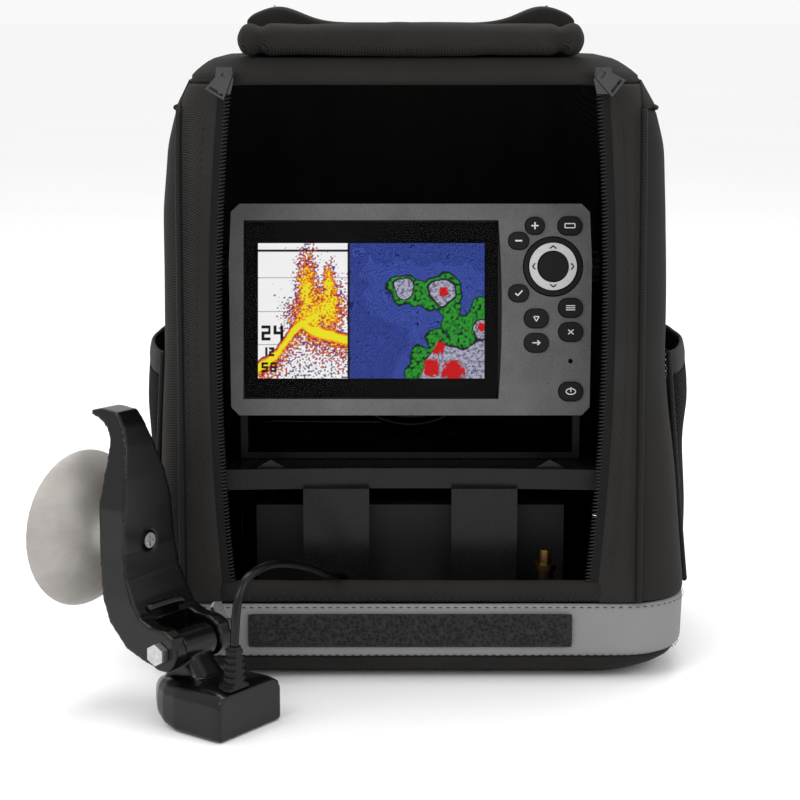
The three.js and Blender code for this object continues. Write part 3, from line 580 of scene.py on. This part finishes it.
for side, word in ((-1, "left"), (1, "right")):
    rows = []
    for z in heights(37.6, 280, 62):
        inner = zip_x(word, max(z, 48)) + 2.4
        edge = edge_at(side, z)
        outer = min(SEAM, edge - 0.4)
        row = []
        for k in range(13):
            share = k / 12
            point = front_point(side, inner + (outer - inner) * share, z)
            pillow = math.sin(math.pi * share) * 1.1 + 0.35 * noise.noise(point * 0.06)
            row.append(point + Vector((0, -pillow * 0.6, 0)))
        rows.append(row[::-1] if side < 0 else row)
    points, faces = lattice(rows)
    strip = piece(f"front_{word}_strip_cloth", points, faces, STRIP, "case")
    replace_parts(thicken(strip, 3.2), f"front_{word}_strip")

    tape = []
    for z in heights(38, 280, 60):
        start = front_point(side, zip_x(word, z) - 1.2, z) + Vector((0, 0.6, 0))
        end = front_point(side, zip_x(word, z) + 5, z) + Vector((0, 0.2, 0))
        row = [start.lerp(end, k / 3) for k in range(4)]
        tape.append(row[::-1] if side < 0 else row)
    points, faces = lattice(tape)
    thicken(piece(f"{word}_zip_tape", points, faces, TAPE, "case"), 0.8)

    coil = []
    turns = 144
    for k in range(turns * 10 + 1):
        turn = 2 * math.pi * k / 10
        z = 39 + 241 * k / (turns * 10)
        middle = front_point(side, zip_x(word, z) - 1.6, z) + Vector((0, ZIP_INSET, 0))
        coil.append(middle + Vector((1.5 * math.cos(turn), 1.1 * math.sin(turn), 0)))
    tube(f"{word}_zip_coil", coil, 0.42, COIL, "case", 5)

    for name, out in (("inner", 8.5), ("outer", None)):
        line = []
        for z in heights(50, 264, 110):
            x = zip_x(word, z) + out if out else min(SEAM, edge_at(side, z) - 1) - 3
            line.append(front_point(side, x, z) + Vector((0, -1.2, 0)))
        dashes(f"{word}_{name}_stitches", line, 2.4, 1.2, 0.32, THREAD, "case")

    proud = Vector((side * 0.5, -0.8, 0))
    seam = [front_point(side, min(SEAM, edge_at(side, z) - 0.5), z) + proud
            for z in heights(38, SEAM_TOP, 70)]
    tube(f"{word}_seam_piping", seam, 1.5, WEBBING, "case", 8)

# ---------------------------------------------------------------- lip, band and base
lip = []
for k in range(49):
    x = -89 + 178 * k / 48
    side = -1 if x < 0 else 1
    ring = []
    for j in range(14):
        turn = 2 * math.pi * j / 14
        base = front_point(side, abs(x), 43)
        roll = 1 + 0.06 * noise.noise(Vector((x * 0.05, 3, 0)))
        ring.append(base + Vector((0, 2.3 + 2.9 * roll * math.cos(turn), 5.2 * roll * math.sin(turn))))
    lip.append(ring)
points, faces = lattice(lip, True)
faces += [tuple(range(13, -1, -1)), tuple(range(48 * 14, 49 * 14))]
lip_roll = piece("front_lip_roll", points, faces, CASE, "case")
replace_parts(lip_roll, "front_lip")
lip_line = [front_point(-1 if x < 0 else 1, abs(x), 40) + Vector((0, -0.9, 0)) for x in heights(-88, 88, 110)]
dashes("lip_stitches", lip_line, 2.4, 1.2, 0.3, THREAD, "case")

rows = []
for z in heights(11, 37.3, 10):
    rows.append([sag(p, Vector((p.x, p.y, 0)).normalized(), 0.35, 9) for p in full_row(z)])
points, faces = lattice(rows, True)
band = thicken(piece("silver_band", points, faces, BAND, "case"), CLOTH)
RIM_PROFILE = [(11.2, 0.2), (8, -0.8), (5, -0.4), (2.4, 0.6), (0.6, 2.5), (0.1, 6)]
rows = [full_row(z, inset) for z, inset in RIM_PROFILE]
rows += [full_row(0.1, inset) for inset in (20, 45, 68)]
points, faces = lattice(rows[::-1], True)
faces.append(tuple(range(len(rows[0]) - 1, -1, -1)))
rim = thicken(piece("base_rim", points, faces, CASE, "case"), CLOTH, soft=False)
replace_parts(band, "base_band")
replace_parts(rim, "base_band")
for z in (12.4, 35.8):
    line = [p + Vector((p.x, p.y, 0)).normalized() * 0.5 for p in full_row(z)]
    dashes(f"band_stitches_{round(z)}", line + line[:1], 2.4, 1.3, 0.3, THREAD, "case")

rows = []
for i in range(17):
    z = 17.5 + 15 * i / 16
    row = []
    for k in range(149):
        x = -76 + 151.5 * k / 148
        edge = min(i, 16 - i, k, 148 - k)
        fuzz = 0.5 * noise.noise(Vector((x * 1.1, z * 1.1, 0))) if edge else 0
        row.append(Vector((x, -91.6 - (0.9 + fuzz if edge else 0), z)))
    rows.append(row)
points, faces = lattice(rows)
pile = piece("loop_strip_pile", points, faces, LOOP, "case")
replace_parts(thicken(pile, 0.9, soft=False, offset=1.0), "loop_strip")

# ---------------------------------------------------------------- roof
rows = []
# height and how far in from the case's outline: a soft roll over a crease, then the flat top
ROOF_PROFILE = [
    (280.2, 0.5), (281.4, 0.9), (282.8, -0.2), (285, -0.6), (287.4, -0.4), (289.2, 0.2),
    (290.5, 1.4), (291, 3), (291.2, 8), (291.2, 20), (291, 40), (290.8, 58),
]
for z, inset in ROOF_PROFILE:
    rows.append([Vector((p.x, p.y, z)) for p in full_row(min(z, 291), inset)])
points, faces = lattice(rows, True)
faces.append(tuple(range((len(rows) - 1) * len(rows[0]), len(rows) * len(rows[0]))))
roof_top = thicken(piece("roof_cloth", points, faces, CASE, "case"), CLOTH, soft=False)
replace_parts(roof_top, "roof_panel")
rows = []
for z in heights(267.8, 280.6, 6):
    row = side_row(1, z) + back_row(z)[1:-1] + [p for p in side_row(-1, z)[::-1]]
    rows.append(row)
points, faces = lattice(rows)
shoulder = thicken(piece("shoulder_cloth", points, faces, CASE, "case"), CLOTH, soft=False)
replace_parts(shoulder, "roof_panel")
ring = [p + Vector((p.x, p.y, 0)).normalized() * 0.6 for p in rows[0]]
tube("shoulder_piping", ring[4:-4], 1.2, WEBBING, "case", 8)

# ---------------------------------------------------------------- lining behind the head
rows = []
for z in heights(48, 284, 40):
    row = []
    for p in back_row(z, 0):
        fold = 1.6 * math.sin(p.x * 0.22 + 1.5 * noise.noise(Vector((p.x * 0.02, 0, z * 0.01)))) * (z / 284)
        row.append(Vector((p.x * 0.93, p.y - 7.5 + 0.8 * fold, z)))
    rows.append(row[::-1])
points, faces = lattice(rows)
thicken(piece("back_lining", points, faces, LINING, "case"), 1.0)


# ---------------------------------------------------------------- pockets
def side_at(side, y, z):
    _, _, front, back, radius = section(z)
    edge = edge_at(side, z)
    for centre, sign in ((front + radius, -1), (back - radius, 1)):
        over = (y - centre) * sign
        if over > 0:
            return edge - radius + math.sqrt(max(radius ** 2 - over ** 2, 0))
    return edge


def pocket_point(side, y, z, extra=0.0):
    reach = 136 if side > 0 else 128.5
    along = math.sin(math.pi * (y + 57) / 114) ** 0.6 if abs(y) < 57 else 0
    up = math.sin(math.pi * min(1, (z - 40) / 90) * 0.5 + 0.25) ** 0.5
    wave = 1 + 0.10 * math.sin(z * 0.11) + 0.08 * noise.noise(Vector((y * 0.04, z * 0.04, side)))
    base = side_at(side, y, z)
    out = max(0, reach - base) * along * min(1, up) * wave
    return Vector((side * (base + 0.8 + min(out, reach - base) + extra), y, z))


for side, word in ((-1, "left"), (1, "right")):
    rows = []
    across, up = 38, 34
    for i in range(2 * up + 1):
        z = 41 + 101 * i / (2 * up)
        rows.append([pocket_point(side, -57 + 114 * k / (2 * across), z) for k in range(2 * across + 1)])
    points = []
    index = {}
    faces = []

    def corner_at(i, k):
        if (i, k) not in index:
            index[i, k] = len(points)
            points.append(rows[i][k])
        return index[i, k]

    for i in range(1, 2 * up):
        for k in range(1, 2 * across):
            if (i + k) % 2:
                quad = (corner_at(i - 1, k), corner_at(i, k + 1), corner_at(i + 1, k), corner_at(i, k - 1))
                faces.append(quad if side > 0 else quad[::-1])
    net = piece(f"{word}_pocket_net", points, faces, NET, "case")
    wires = net.modifiers.new("wires", "WIREFRAME")
    wires.thickness = 0.0009
    wires.use_even_offset = False
    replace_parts(net, f"{word}_pocket")
    band_rows = []
    for j in range(7):
        z = 140 + 13 * j / 6
        puff = 0.9 * math.sin(math.pi * j / 6)
        band_rows.append([pocket_point(side, y, z, puff) for y in heights(-58, 58, 50)])
    if side < 0:
        band_rows = [row[::-1] for row in band_rows]
    points, faces = lattice(band_rows)
    thicken(piece(f"{word}_pocket_band", points, faces, WEBBING, "case"), 1.8)
    hem = [pocket_point(side, y, 41, 0.4) for y in heights(-57, 57, 40)]
    tube(f"{word}_pocket_hem", hem, 1.4, WEBBING, "case", 8)
    for y, end in ((-57, "front"), (57, "back")):
        edge = [pocket_point(side, y, z, 0.5) for z in heights(41, 152, 40)]
        tube(f"{word}_pocket_edge_{end}", edge, 1.3, WEBBING, "case", 8)


# ---------------------------------------------------------------- flap
def slab_cloth(name, half, near, far, low, high, body, node, seed, curl=0.0):
    """A soft padded panel with rolled edges."""
    rows = []
    around = 20
    for k in range(61):
        x = -half + 2 * half * k / 60
        end = min(1.0, (half - abs(x)) / 4)
        shrink = math.sqrt(max(0.02, 1 - (1 - end) ** 2))
        ring = []
        for j in range(around):
            turn = 2 * math.pi * j / around
            cosine, sine = math.cos(turn), math.sin(turn)
            y = (near + far) / 2 + (far - near) / 2 * math.copysign(abs(cosine) ** 0.35, cosine)
            z = (low + high) / 2 + (high - low) / 2 * shrink * math.copysign(abs(sine) ** 0.7, sine)
            point = Vector((x, y, z))
            lift = curl * math.exp(-((abs(x) - 62) / 15) ** 2) if sine >= 0 else 0
            ripple = 0.45 * noise.noise(Vector((x * 0.05, y * 0.05, seed))) if sine > 0 else 0
            ring.append(point + Vector((0, 0, ripple + lift)))
        rows.append(ring)
    points, faces = lattice(rows, True)
    faces += [tuple(range(around - 1, -1, -1)), tuple(range(60 * around, 61 * around))]
    thing = piece(name, points, faces, CASE, body)
    soften(thing)
    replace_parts(thing, node)
    return thing


ROLL_Y, ROLL_Z = -65.2, 299.3  # the middle of the flap's front roll


def front_roll(name, half, body):
    """The folded front edge: fullest in the middle, pinched by the seams, with a lobe at each end."""
    rows = []
    around = 22
    for k in range(97):
        x = -half + 2 * half * k / 96
        across = abs(x) / half
        pinch = 1 - 0.26 * math.exp(-((across - 0.86) / 0.03) ** 2)
        end = math.sqrt(max(0.03, 1 - max(0.0, (across - 0.93) / 0.07) ** 2))
        full = pinch * end * (1 + 0.05 * math.cos(across * 5) + 0.03 * noise.noise(Vector((x * 0.09, 1, 0))))
        ring = []
        for j in range(around):
            turn = 2 * math.pi * j / around
            y = ROLL_Y + 11.6 * full * math.copysign(abs(math.cos(turn)) ** 0.85, math.cos(turn))
            z = ROLL_Z + 7.6 * full * math.copysign(abs(math.sin(turn)) ** 0.85, math.sin(turn))
            wrinkle = 0.5 * noise.noise(Vector((x * 0.07, math.cos(turn), math.sin(turn) * 2)))
            ring.append(Vector((x, y, z + wrinkle)))
        rows.append(ring)
    points, faces = lattice(rows, True)
    faces += [tuple(range(around - 1, -1, -1)), tuple(range(96 * around, 97 * around))]
    thing = piece(name, points, faces, CASE, body)
    soften(thing)
    return thing


slab_cloth("flap_upper_cloth", 79, -62, 28, 291.3, 296.3, "flap_upper", "flap_upper", 1)


def flatten(thing):
    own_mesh(thing)


flatten(front_roll("flap_front_roll", 80, "flap_upper"))
slab_cloth("flap_middle_cloth", 79, -52, 28, 296.6, 301.6, "flap_middle", "flap_middle", 2)
slab_cloth("flap_tab_cloth", 77, -52, -28, 301.9, 306.9, "flap_tab", "flap_tab", 3, 7.5)
for x, word in ((-64.5, "left"), (64.5, "right")):
    turns = [math.radians(t) for t in range(-150, 60, 6)]
    line = [Vector((x, ROLL_Y - 11.9 * math.cos(t * 0.6), ROLL_Z + 7.9 * math.sin(t * 0.6 + 0.3)))
            for t in turns]
    flatten(dashes(f"flap_roll_stitches_{word}", line, 2.2, 1.1, 0.3, THREAD, "flap_upper"))
for x, word in ((-64, "left"), (64, "right")):
    line = [Vector((x, y, 314.5)) for y in heights(-47, -33, 16)]
    dashes(f"flap_tab_stitches_{word}", line, 2.4, 1.2, 0.3, THREAD, "flap_tab")


def fold_strip(name, edge, reach, low, high):
    """The cloth that runs round a fold from one panel of the flap to the next."""
    way = math.copysign(1, reach)
    inside, shoulder_y = edge - 4 * way, edge + 0.8 * reach
    profile = [(inside, low), (edge, low), (shoulder_y, low + 1.2), (edge + reach, (low + high) / 2),
               (shoulder_y, high - 1.2), (edge, high), (inside, high)]
    points, faces = lattice([[Vector((x, y, z)) for y, z in profile] for x in heights(-76, 76, 24)])
    strip = thicken(piece(name, points, faces, CASE, None), 1.4, offset=0)
    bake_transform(strip)


fold_strip("flap_back_fold", 28, 2.4, 293.8, 299.1)
fold_strip("flap_front_fold", -51.8, -0.9, 299.1, 304.4)

# ---------------------------------------------------------------- handle and straps
HANDLE = [
    (-40, 40, 293.6), (-34, 41, 298.5), (-18, 42, 301.6), (0, 42, 302.6), (18, 42, 301.6), (34, 41, 298.5),
    (40, 40, 293.6),
]
handle = tube("grab_handle_webbing", smooth_route(HANDLE, 10), lambda t: 2.2 + 0.8 * math.sin(math.pi * t),
              WEBBING, "case", 14, 0.8)
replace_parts(handle, "grab_handle")
STRAP_X = 55  # from the middle of the back to the middle of a strap
STRAP_OUTER = [(81, 245), (92, 245), (104, 228), (112, 190), (112, 130), (106, 80), (97, 52)]
for side, word in ((-1, "left"), (1, "right")):
    route = smooth_route([(0, y - 2.5, z) for y, z in STRAP_OUTER], 8)
    rows = []
    for p in route:
        rows.append([Vector((side * STRAP_X - 20 + 40 * k / 10, p.y + 0.6 * math.sin(math.pi * k / 10), p.z))
                     for k in range(11)])
    points, faces = lattice(rows)
    strap = piece(f"shoulder_strap_{word}_webbing", points, faces, WEBBING, "case")
    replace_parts(thicken(strap, 4.5, offset=0), f"shoulder_strap_{word}")
    for shift, row_name in ((-17, "a"), (17, "b")):
        line = [Vector((side * STRAP_X + shift, p.y + 2.9, p.z)) for p in route]
        dashes(f"strap_{word}_stitches_{row_name}", line, 2.4, 1.2, 0.32, THREAD, "case")

# ---------------------------------------------------------------- display
LIT = (-73.4, 35.7, -33.1, 32.1)
SPLIT = 0.4
COLUMNS, LINES = 300, 180
SEGMENTS = {
    "0": "abcdef", "1": "bc", "2": "abged", "3": "abgcd", "4": "fgbc", "5": "afgcd", "6": "afgedc",
    "7": "abc", "8": "abcdefg", "9": "abcdfg",
}


def digit_hit(u, v, digits, left, bottom, width, height):
    """True where a seven-bar figure is drawn."""
    pitch = width * 1.35
    place = int((u - left) // pitch)
    if u < left or not 0 <= place < len(digits) or not bottom <= v <= bottom + height:
        return False
    x = (u - left - place * pitch) / width
    y = (v - bottom) / height
    if x > 1:
        return False
    bars = SEGMENTS[digits[place]]
    thick = 0.3
    spots = {
        "a": y > 1 - thick * 0.7, "d": y < thick * 0.7, "g": abs(y - 0.5) < thick * 0.35,
        "f": x < thick and y > 0.5, "e": x < thick and y < 0.5,
        "b": x > 1 - thick and y > 0.5, "c": x > 1 - thick and y < 0.5,
    }
    return any(spots[bar] for bar in bars)


def hold(u, route):
    """The height of a line of points at a share across."""
    for (u0, v0), (u1, v1) in zip(route, route[1:]):
        if u <= u1:
            return v0 + (v1 - v0) * (u - u0) / (u1 - u0)
    return route[-1][1]


# the lake's floor, across and up
SLOPE = [(0, 0.07), (0.2, 0.17), (0.4, 0.36), (0.48, 0.41), (0.6, 0.35), (1, 0.28)]
# schools of fish: middle across and up, half size each way
SCHOOLS = [
    (0.54, 0.62, 0.09, 0.24), (0.76, 0.52, 0.15, 0.16), (0.78, 0.68, 0.06, 0.12), (0.6, 0.46, 0.2, 0.12),
]
# digits, then left, bottom, width and height
FIGURES = [("24", 0.04, 0.28, 0.1, 0.11), ("12", 0.04, 0.165, 0.06, 0.065), ("58", 0.04, 0.05, 0.07, 0.07)]


def sonar(u, v):
    """Echoes: a yellow bank rising to a shelf, schools of fish over it, speckle below."""
    if any(digit_hit(u, v, *figure) for figure in FIGURES):
        return (0.006, 0.006, 0.006)
    fine = noise.noise(Vector((u * 40, v * 66, 2)))
    coarse = noise.noise(Vector((u * 15, v * 25, 5)))
    depth = v - hold(u, SLOPE) - 0.012 * coarse
    strength = 1.15 - abs(depth) / 0.055
    for across, up, wide, tall in SCHOOLS:
        reach = math.hypot((u - across) / wide, (v - up) / tall)
        strength = max(strength, 0.95 - 0.62 * reach + 0.75 * fine + 0.3 * coarse if depth > 0 else 0)
    if depth < 0:
        strength = max(strength, 0.42 + 2.2 * depth + 0.8 * fine)
    if strength > 0.62:
        return (0.85, 0.78, 0.02)
    if strength > 0.36:
        return (0.88, 0.24, 0.015)
    if strength > 0.2:
        return (0.5, 0.02, 0.02)
    if strength > 0.06:
        return (0.1, 0.035, 0.22)
    if depth < 0 and fine > 0.12:
        return (0.12, 0.1, 0.18)
    if 0.935 < v < 0.952 or any(abs(v - level) < 0.004 for level in (0.25, 0.495, 0.745)):
        return (0.01, 0.01, 0.01) if v > 0.9 else (0.3, 0.3, 0.32)
    return (0.12, 0.1, 0.2) if coarse > 0.5 and fine > 0.3 else (0.93, 0.93, 0.93)


# round patches of the chart: middle across and up, radius
SHALLOWS = [
    (0.40, 0.66, 0.12), (0.5, 0.63, 0.1), (0.6, 0.61, 0.1), (0.7, 0.64, 0.14),
    (0.75, 0.51, 0.09), (0.77, 0.41, 0.1), (0.83, 0.34, 0.12), (0.91, 0.4, 0.1),
    (0.98, 0.5, 0.09), (0.66, 0.27, 0.1), (0.54, 0.16, 0.09), (0.5, 0.04, 0.08),
]
PEAKS = [(0.41, 0.67, 0.085), (0.69, 0.64, 0.1), (0.99, 0.36, 0.08)]
SHORE = [(0, -0.1), (0.5, -0.05), (0.56, 0.12), (0.66, 0.27), (0.76, 0.24), (0.86, 0.22), (1, 0.3)]
RED = [(0.7, 0.64, 0.035), (0.66, 0.23, 0.05), (0.61, 0.08, 0.06), (0.77, 0.05, 0.08), (0.98, 0.38, 0.03)]


def nearness(u, v, spots, warp):
    return max(1 - math.hypot(u - x, (v - y) * 0.95) / size for x, y, size in spots) + warp


def chart(u, v):
    """A made-up lake: depth lines on blue, green shallows joining two islands to a shore."""
    warp = noise.noise(Vector((u * 11, v * 11, 4)))
    fine = noise.noise(Vector((u * 44, v * 44, 8)))
    land = max(nearness(u, v, PEAKS, 0.35 * warp), (hold(u, SHORE) - v) * 9 + 0.3 * warp)
    if land > 0:
        if nearness(u, v, RED, 0.5 * fine) > 0:
            return (0.55, 0.012, 0.015)
        if land < 0.16 or abs(fine) < 0.05:
            return (0.02, 0.02, 0.025)
        return (0.42, 0.42, 0.56) if fine > -0.25 else (0.16, 0.16, 0.2)
    shallow = nearness(u, v, SHALLOWS, 0.3 * warp)
    if shallow > 0:
        if shallow < 0.12 or fine < -0.3:
            return (0.008, 0.03, 0.015)
        return (0.03, 0.3, 0.03) if fine > 0 else (0.02, 0.17, 0.025)
    level = 7 * noise.noise(Vector((u * 2.6, v * 2.6, 1))) + 1.2 * warp + 2.5 * shallow
    line = abs(level * 2 - round(level * 2))
    if line < 0.09:
        return (0.014, 0.022, 0.12)
    if fine > 0.62:
        return (0.01, 0.012, 0.05)
    return (0.048, 0.078, 0.36) if level > -3.5 else (0.035, 0.06, 0.29)


rows = [[on_head(LIT[0] + (LIT[1] - LIT[0]) * k / COLUMNS, 2.8, LIT[2] + (LIT[3] - LIT[2]) * i / LINES)
         for k in range(COLUMNS + 1)] for i in range(LINES + 1)]
points, faces = lattice(rows)
screen_paint = Paint("display_light", Roughness=0.6, Specular_IOR_Level=0.0)
screen_paint.shader.inputs["Base Color"].default_value = (0, 0, 0, 1)
reader = screen_paint.add("ShaderNodeVertexColor", layer_name="picture")
screen_paint.link(reader.outputs["Color"], screen_paint.shader.inputs["Emission Color"])
screen_paint.shader.inputs["Emission Strength"].default_value = 0.95
display = piece("display_picture", points, faces, screen_paint.material, "head", False)
picture = display.data.color_attributes.new("picture", "FLOAT_COLOR", "POINT")
for i in range(LINES + 1):
    for k in range(COLUMNS + 1):
        u, v = k / COLUMNS, i / LINES
        if abs(u - SPLIT) < 0.004:
            colour = (0.01, 0.01, 0.01)
        elif u < SPLIT:
            colour = sonar(u / SPLIT, v)
        else:
            colour = chart((u - SPLIT) / (1 - SPLIT), v)
        picture.data[i * (COLUMNS + 1) + k].color = (*colour, 1)


# black print on the back of the glass, round the lit area
frame_points = []
for x, z in ((-79.6, -42.3), (42.2, -42.3), (42.2, 42.3), (-79.6, 42.3)):
    frame_points.append(on_head(x, 2.7, z))
for x, z in ((LIT[0], LIT[2]), (LIT[1], LIT[2]), (LIT[1], LIT[3]), (LIT[0], LIT[3])):
    frame_points.append(on_head(x, 2.7, z))
piece("glass_print", frame_points, [(i, (i + 1) % 4, 4 + (i + 1) % 4, 4 + i) for i in range(4)], PANEL,
      "head", False)

sensor = [on_head(76.9, depth, -24.8) for depth in (-0.12, 0.4)]
tube("light_sensor", sensor, 1.1, PANEL, "head", 20)

# ---------------------------------------------------------------- key prints
def strokes(name, lines, body, height, material=ICON):
    """Printed lines on a key: start x, start z, end x, end z, width, in the head's frame."""
    points = []
    faces = []
    for x0, z0, x1, z1, width in lines:
        ahead = Vector((x1 - x0, z1 - z0))
        side = Vector((-ahead.y, ahead.x)).normalized() * width / 2
        base = len(points)
        for depth in (height, height + 0.14):
            for x, z in ((x0 + side.x, z0 + side.y), (x1 + side.x, z1 + side.y),
                         (x1 - side.x, z1 - side.y), (x0 - side.x, z0 - side.y)):
                points.append(on_head(x, depth, z))
        faces += [tuple(base + i for i in quad) for quad in
                  ((0, 1, 2, 3), (7, 6, 5, 4), (0, 4, 5, 1), (1, 5, 6, 2), (2, 6, 7, 3), (3, 7, 4, 0))]
    return piece(name, points, faces, material, body, False)


KEY_FACE = -1.38
KEYS = {
    "plus": (59.8, 40.2), "minus": (52, 33), "view": (76.6, 40.2), "check": (52, 7.8), "menu": (76.9, 0.8),
    "mark": (60.5, -4.3), "exit": (77, -10.8), "goto": (60.5, -16), "power": (77, -39.4),
}
PRINTS = {
    "plus": [(-1.7, 0, 1.7, 0, 0.7), (0, -1.7, 0, 1.7, 0.7)],
    "minus": [(-1.7, 0, 1.7, 0, 0.7)],
    "check": [(-1.6, 0, -0.4, -1.2, 0.6), (-0.5, -1.2, 1.8, 1.3, 0.6)],
    "view": [(-2.4, -1, -2.4, 1, 0.5), (2.4, -1, 2.4, 1, 0.5),
             (-2.4, 1, 2.4, 1, 0.5), (-2.4, -1, 2.4, -1, 0.5)],
    "menu": [(-2.2, 1, 2.2, 1, 0.45), (-2.2, 0, 2.2, 0, 0.45), (-2.2, -1, 2.2, -1, 0.45)],
    "mark": [(0, -1.4, -1.3, 0.8, 0.45), (0, -1.4, 1.3, 0.8, 0.45), (-1.3, 0.9, 1.3, 0.9, 0.45)],
    "exit": [(-1.3, -1.1, 1.3, 1.1, 0.5), (-1.3, 1.1, 1.3, -1.1, 0.5)],
    "goto": [(-2, 0, 1.6, 0, 0.5), (0.4, 1.1, 1.8, 0, 0.5), (0.4, -1.1, 1.8, 0, 0.5)],
}
round_print = [(2.3 * math.cos(a), 1.4 * math.sin(a), 2.3 * math.cos(b), 1.4 * math.sin(b), 0.5)
               for a, b in ((2 * math.pi * k / 16, 2 * math.pi * (k + 1) / 16) for k in range(16))]
PRINTS["power"] = round_print + [(0, -0.2, 0, 2.1, 0.5)]
for key, lines in PRINTS.items():
    x, z = KEYS[key]
    placed = [(a + x, b + z, c + x, d + z, w) for a, b, c, d, w in lines]
    strokes(f"print_{key}", placed, f"key_{key}", KEY_FACE)
PAD = (68.55, 20.67)
arrows = []
for turn in range(4):
    angle = math.radians(90 * turn)
    for end in (-1.5, 1.5):
        tip = (9.9, 0)
        tail = (8.6, end)
        stroke = []
        for x, y in (tail, tip):
            stroke.append(PAD[0] + (x * math.cos(angle) - y * math.sin(angle)))
            stroke.append(PAD[1] + (x * math.sin(angle) + y * math.cos(angle)))
        arrows.append((*stroke, 0.6))
strokes("print_pad", arrows, "dpad_ring", -1.1, DARK)

# ---------------------------------------------------------------- finishes of the CAD nodes
ROUND = ("BEVEL", {"width": 0.0006, "segments": 3, "limit_method": "ANGLE", "angle_limit": math.radians(40)})
SMALL = ("BEVEL", {"width": 0.0003, "segments": 2, "limit_method": "ANGLE", "angle_limit": math.radians(40)})
MOULD = ("REMESH", {"mode": "VOXEL", "voxel_size": 0.0007, "use_smooth_shade": True})
EASE = ("SMOOTH", {"factor": 0.5, "iterations": 8})
coat("front_bezel", BEZEL, SMALL)
coat("rear_housing", DARK, ROUND)
coat("screen_lens", GLASS)
coat("lcd_panel", PANEL)
coat("circuit_board", BOARD)
for name in ("keypad_membrane", "bezel_gasket"):
    coat(name, RUBBER)
coat("cable_connector", DARK, SMALL)
for key in KEYS:
    coat(f"key_{key}", KEY, SMALL)
coat("dpad_carrier", KEY, SMALL)
coat("dpad_ring", RING, SMALL)
for word in ("left", "right"):
    coat(f"gimbal_knob_{word}", DARK, SMALL)
    coat(f"zip_slider_{word}", GUNMETAL, SMALL)
    coat(f"zip_puller_{word}", GUNMETAL, SMALL)
coat("gimbal_bracket", DARK, ROUND)
coat("tray_base", TRAY, ROUND)
coat("shelf_bridge", TRAY, ROUND)
coat("battery", BATTERY, ROUND)
for name in ("battery_terminal_negative", "battery_terminal_positive", "charge_socket"):
    coat(name, BRASS, SMALL)
coat("power_lead", RUBBER)
coat("transducer_body", HULL, MOULD, EASE)
coat("transducer_arm", HULL, MOULD, EASE)
# the rounded rim over the arm's window
ARM_RIM = [
    (-117.6, -142.2, 49.6), (-116.1, -140.9, 50.2), (-110.5, -135.2, 50.8), (-105, -129.8, 50.8),
    (-103.6, -128.4, 50.2),
]
tube("arm_window_rim", smooth_route(ARM_RIM, 6), 1.9, HULL, "arm", 14)
coat("pivot_bolt", STEEL, SMALL)
coat("wing_nut", STEEL, SMALL)
coat("cup_screw", STEEL)
JOINED = ("WELD", {"merge_threshold": 0.00002})
ROUNDED = ("SUBSURF", {"levels": 2, "render_levels": 2})
coat("suction_cup", CUP, JOINED, ROUNDED, EASE)
for polygon in nodes["suction_cup"].data.polygons:
    polygon.use_smooth = True
coat("cable_boot", RUBBER)

# ---------------------------------------------------------------- studio
floor_paint = Paint("studio_floor", Roughness=0.6)
floor_paint.colours(floor_paint.noise(2, 2), (0.95, 0.95, 0.95), (0.97, 0.97, 0.97))
floor_mesh = bpy.data.meshes.new("floor")
FLOOR_HALF = 40  # metres
FLOOR_TOP = -0.0006
corners = [(x * FLOOR_HALF, y * FLOOR_HALF, FLOOR_TOP) for x, y in ((-1, -1), (1, -1), (1, 1), (-1, 1))]
floor_mesh.from_pydata(corners, [], [(0, 1, 2, 3)])
floor_mesh.materials.append(floor_paint.material)
floor = bpy.data.objects.new("floor", floor_mesh)
bpy.context.collection.objects.link(floor)

world = bpy.data.worlds.new("studio")
world.use_nodes = True
world.node_tree.nodes["Background"].inputs["Color"].default_value = (1, 1, 1, 1)
world.node_tree.nodes["Background"].inputs["Strength"].default_value = 0.95
bpy.context.scene.world = world
bpy.context.scene.view_settings.view_transform = "Standard"


def light(name, place, aim, size, power):
    data = bpy.data.lights.new(name, "AREA")
    data.shape = "SQUARE"
    data.size = size
    data.energy = power
    lamp = bpy.data.objects.new(name, data)
    bpy.context.collection.objects.link(lamp)
    lamp.location = place
    lamp.rotation_euler = (Vector(aim) - Vector(place)).to_track_quat("-Z", "Y").to_euler()


light("key", (-0.9, -1.1, 1.3), (0, 0, 0.15), 0.9, 10)
light("fill", (1.1, -0.9, 0.9), (0, 0, 0.15), 0.9, 5)
light("top", (0, 0.4, 1.5), (0, 0, 0.2), 1.0, 12)
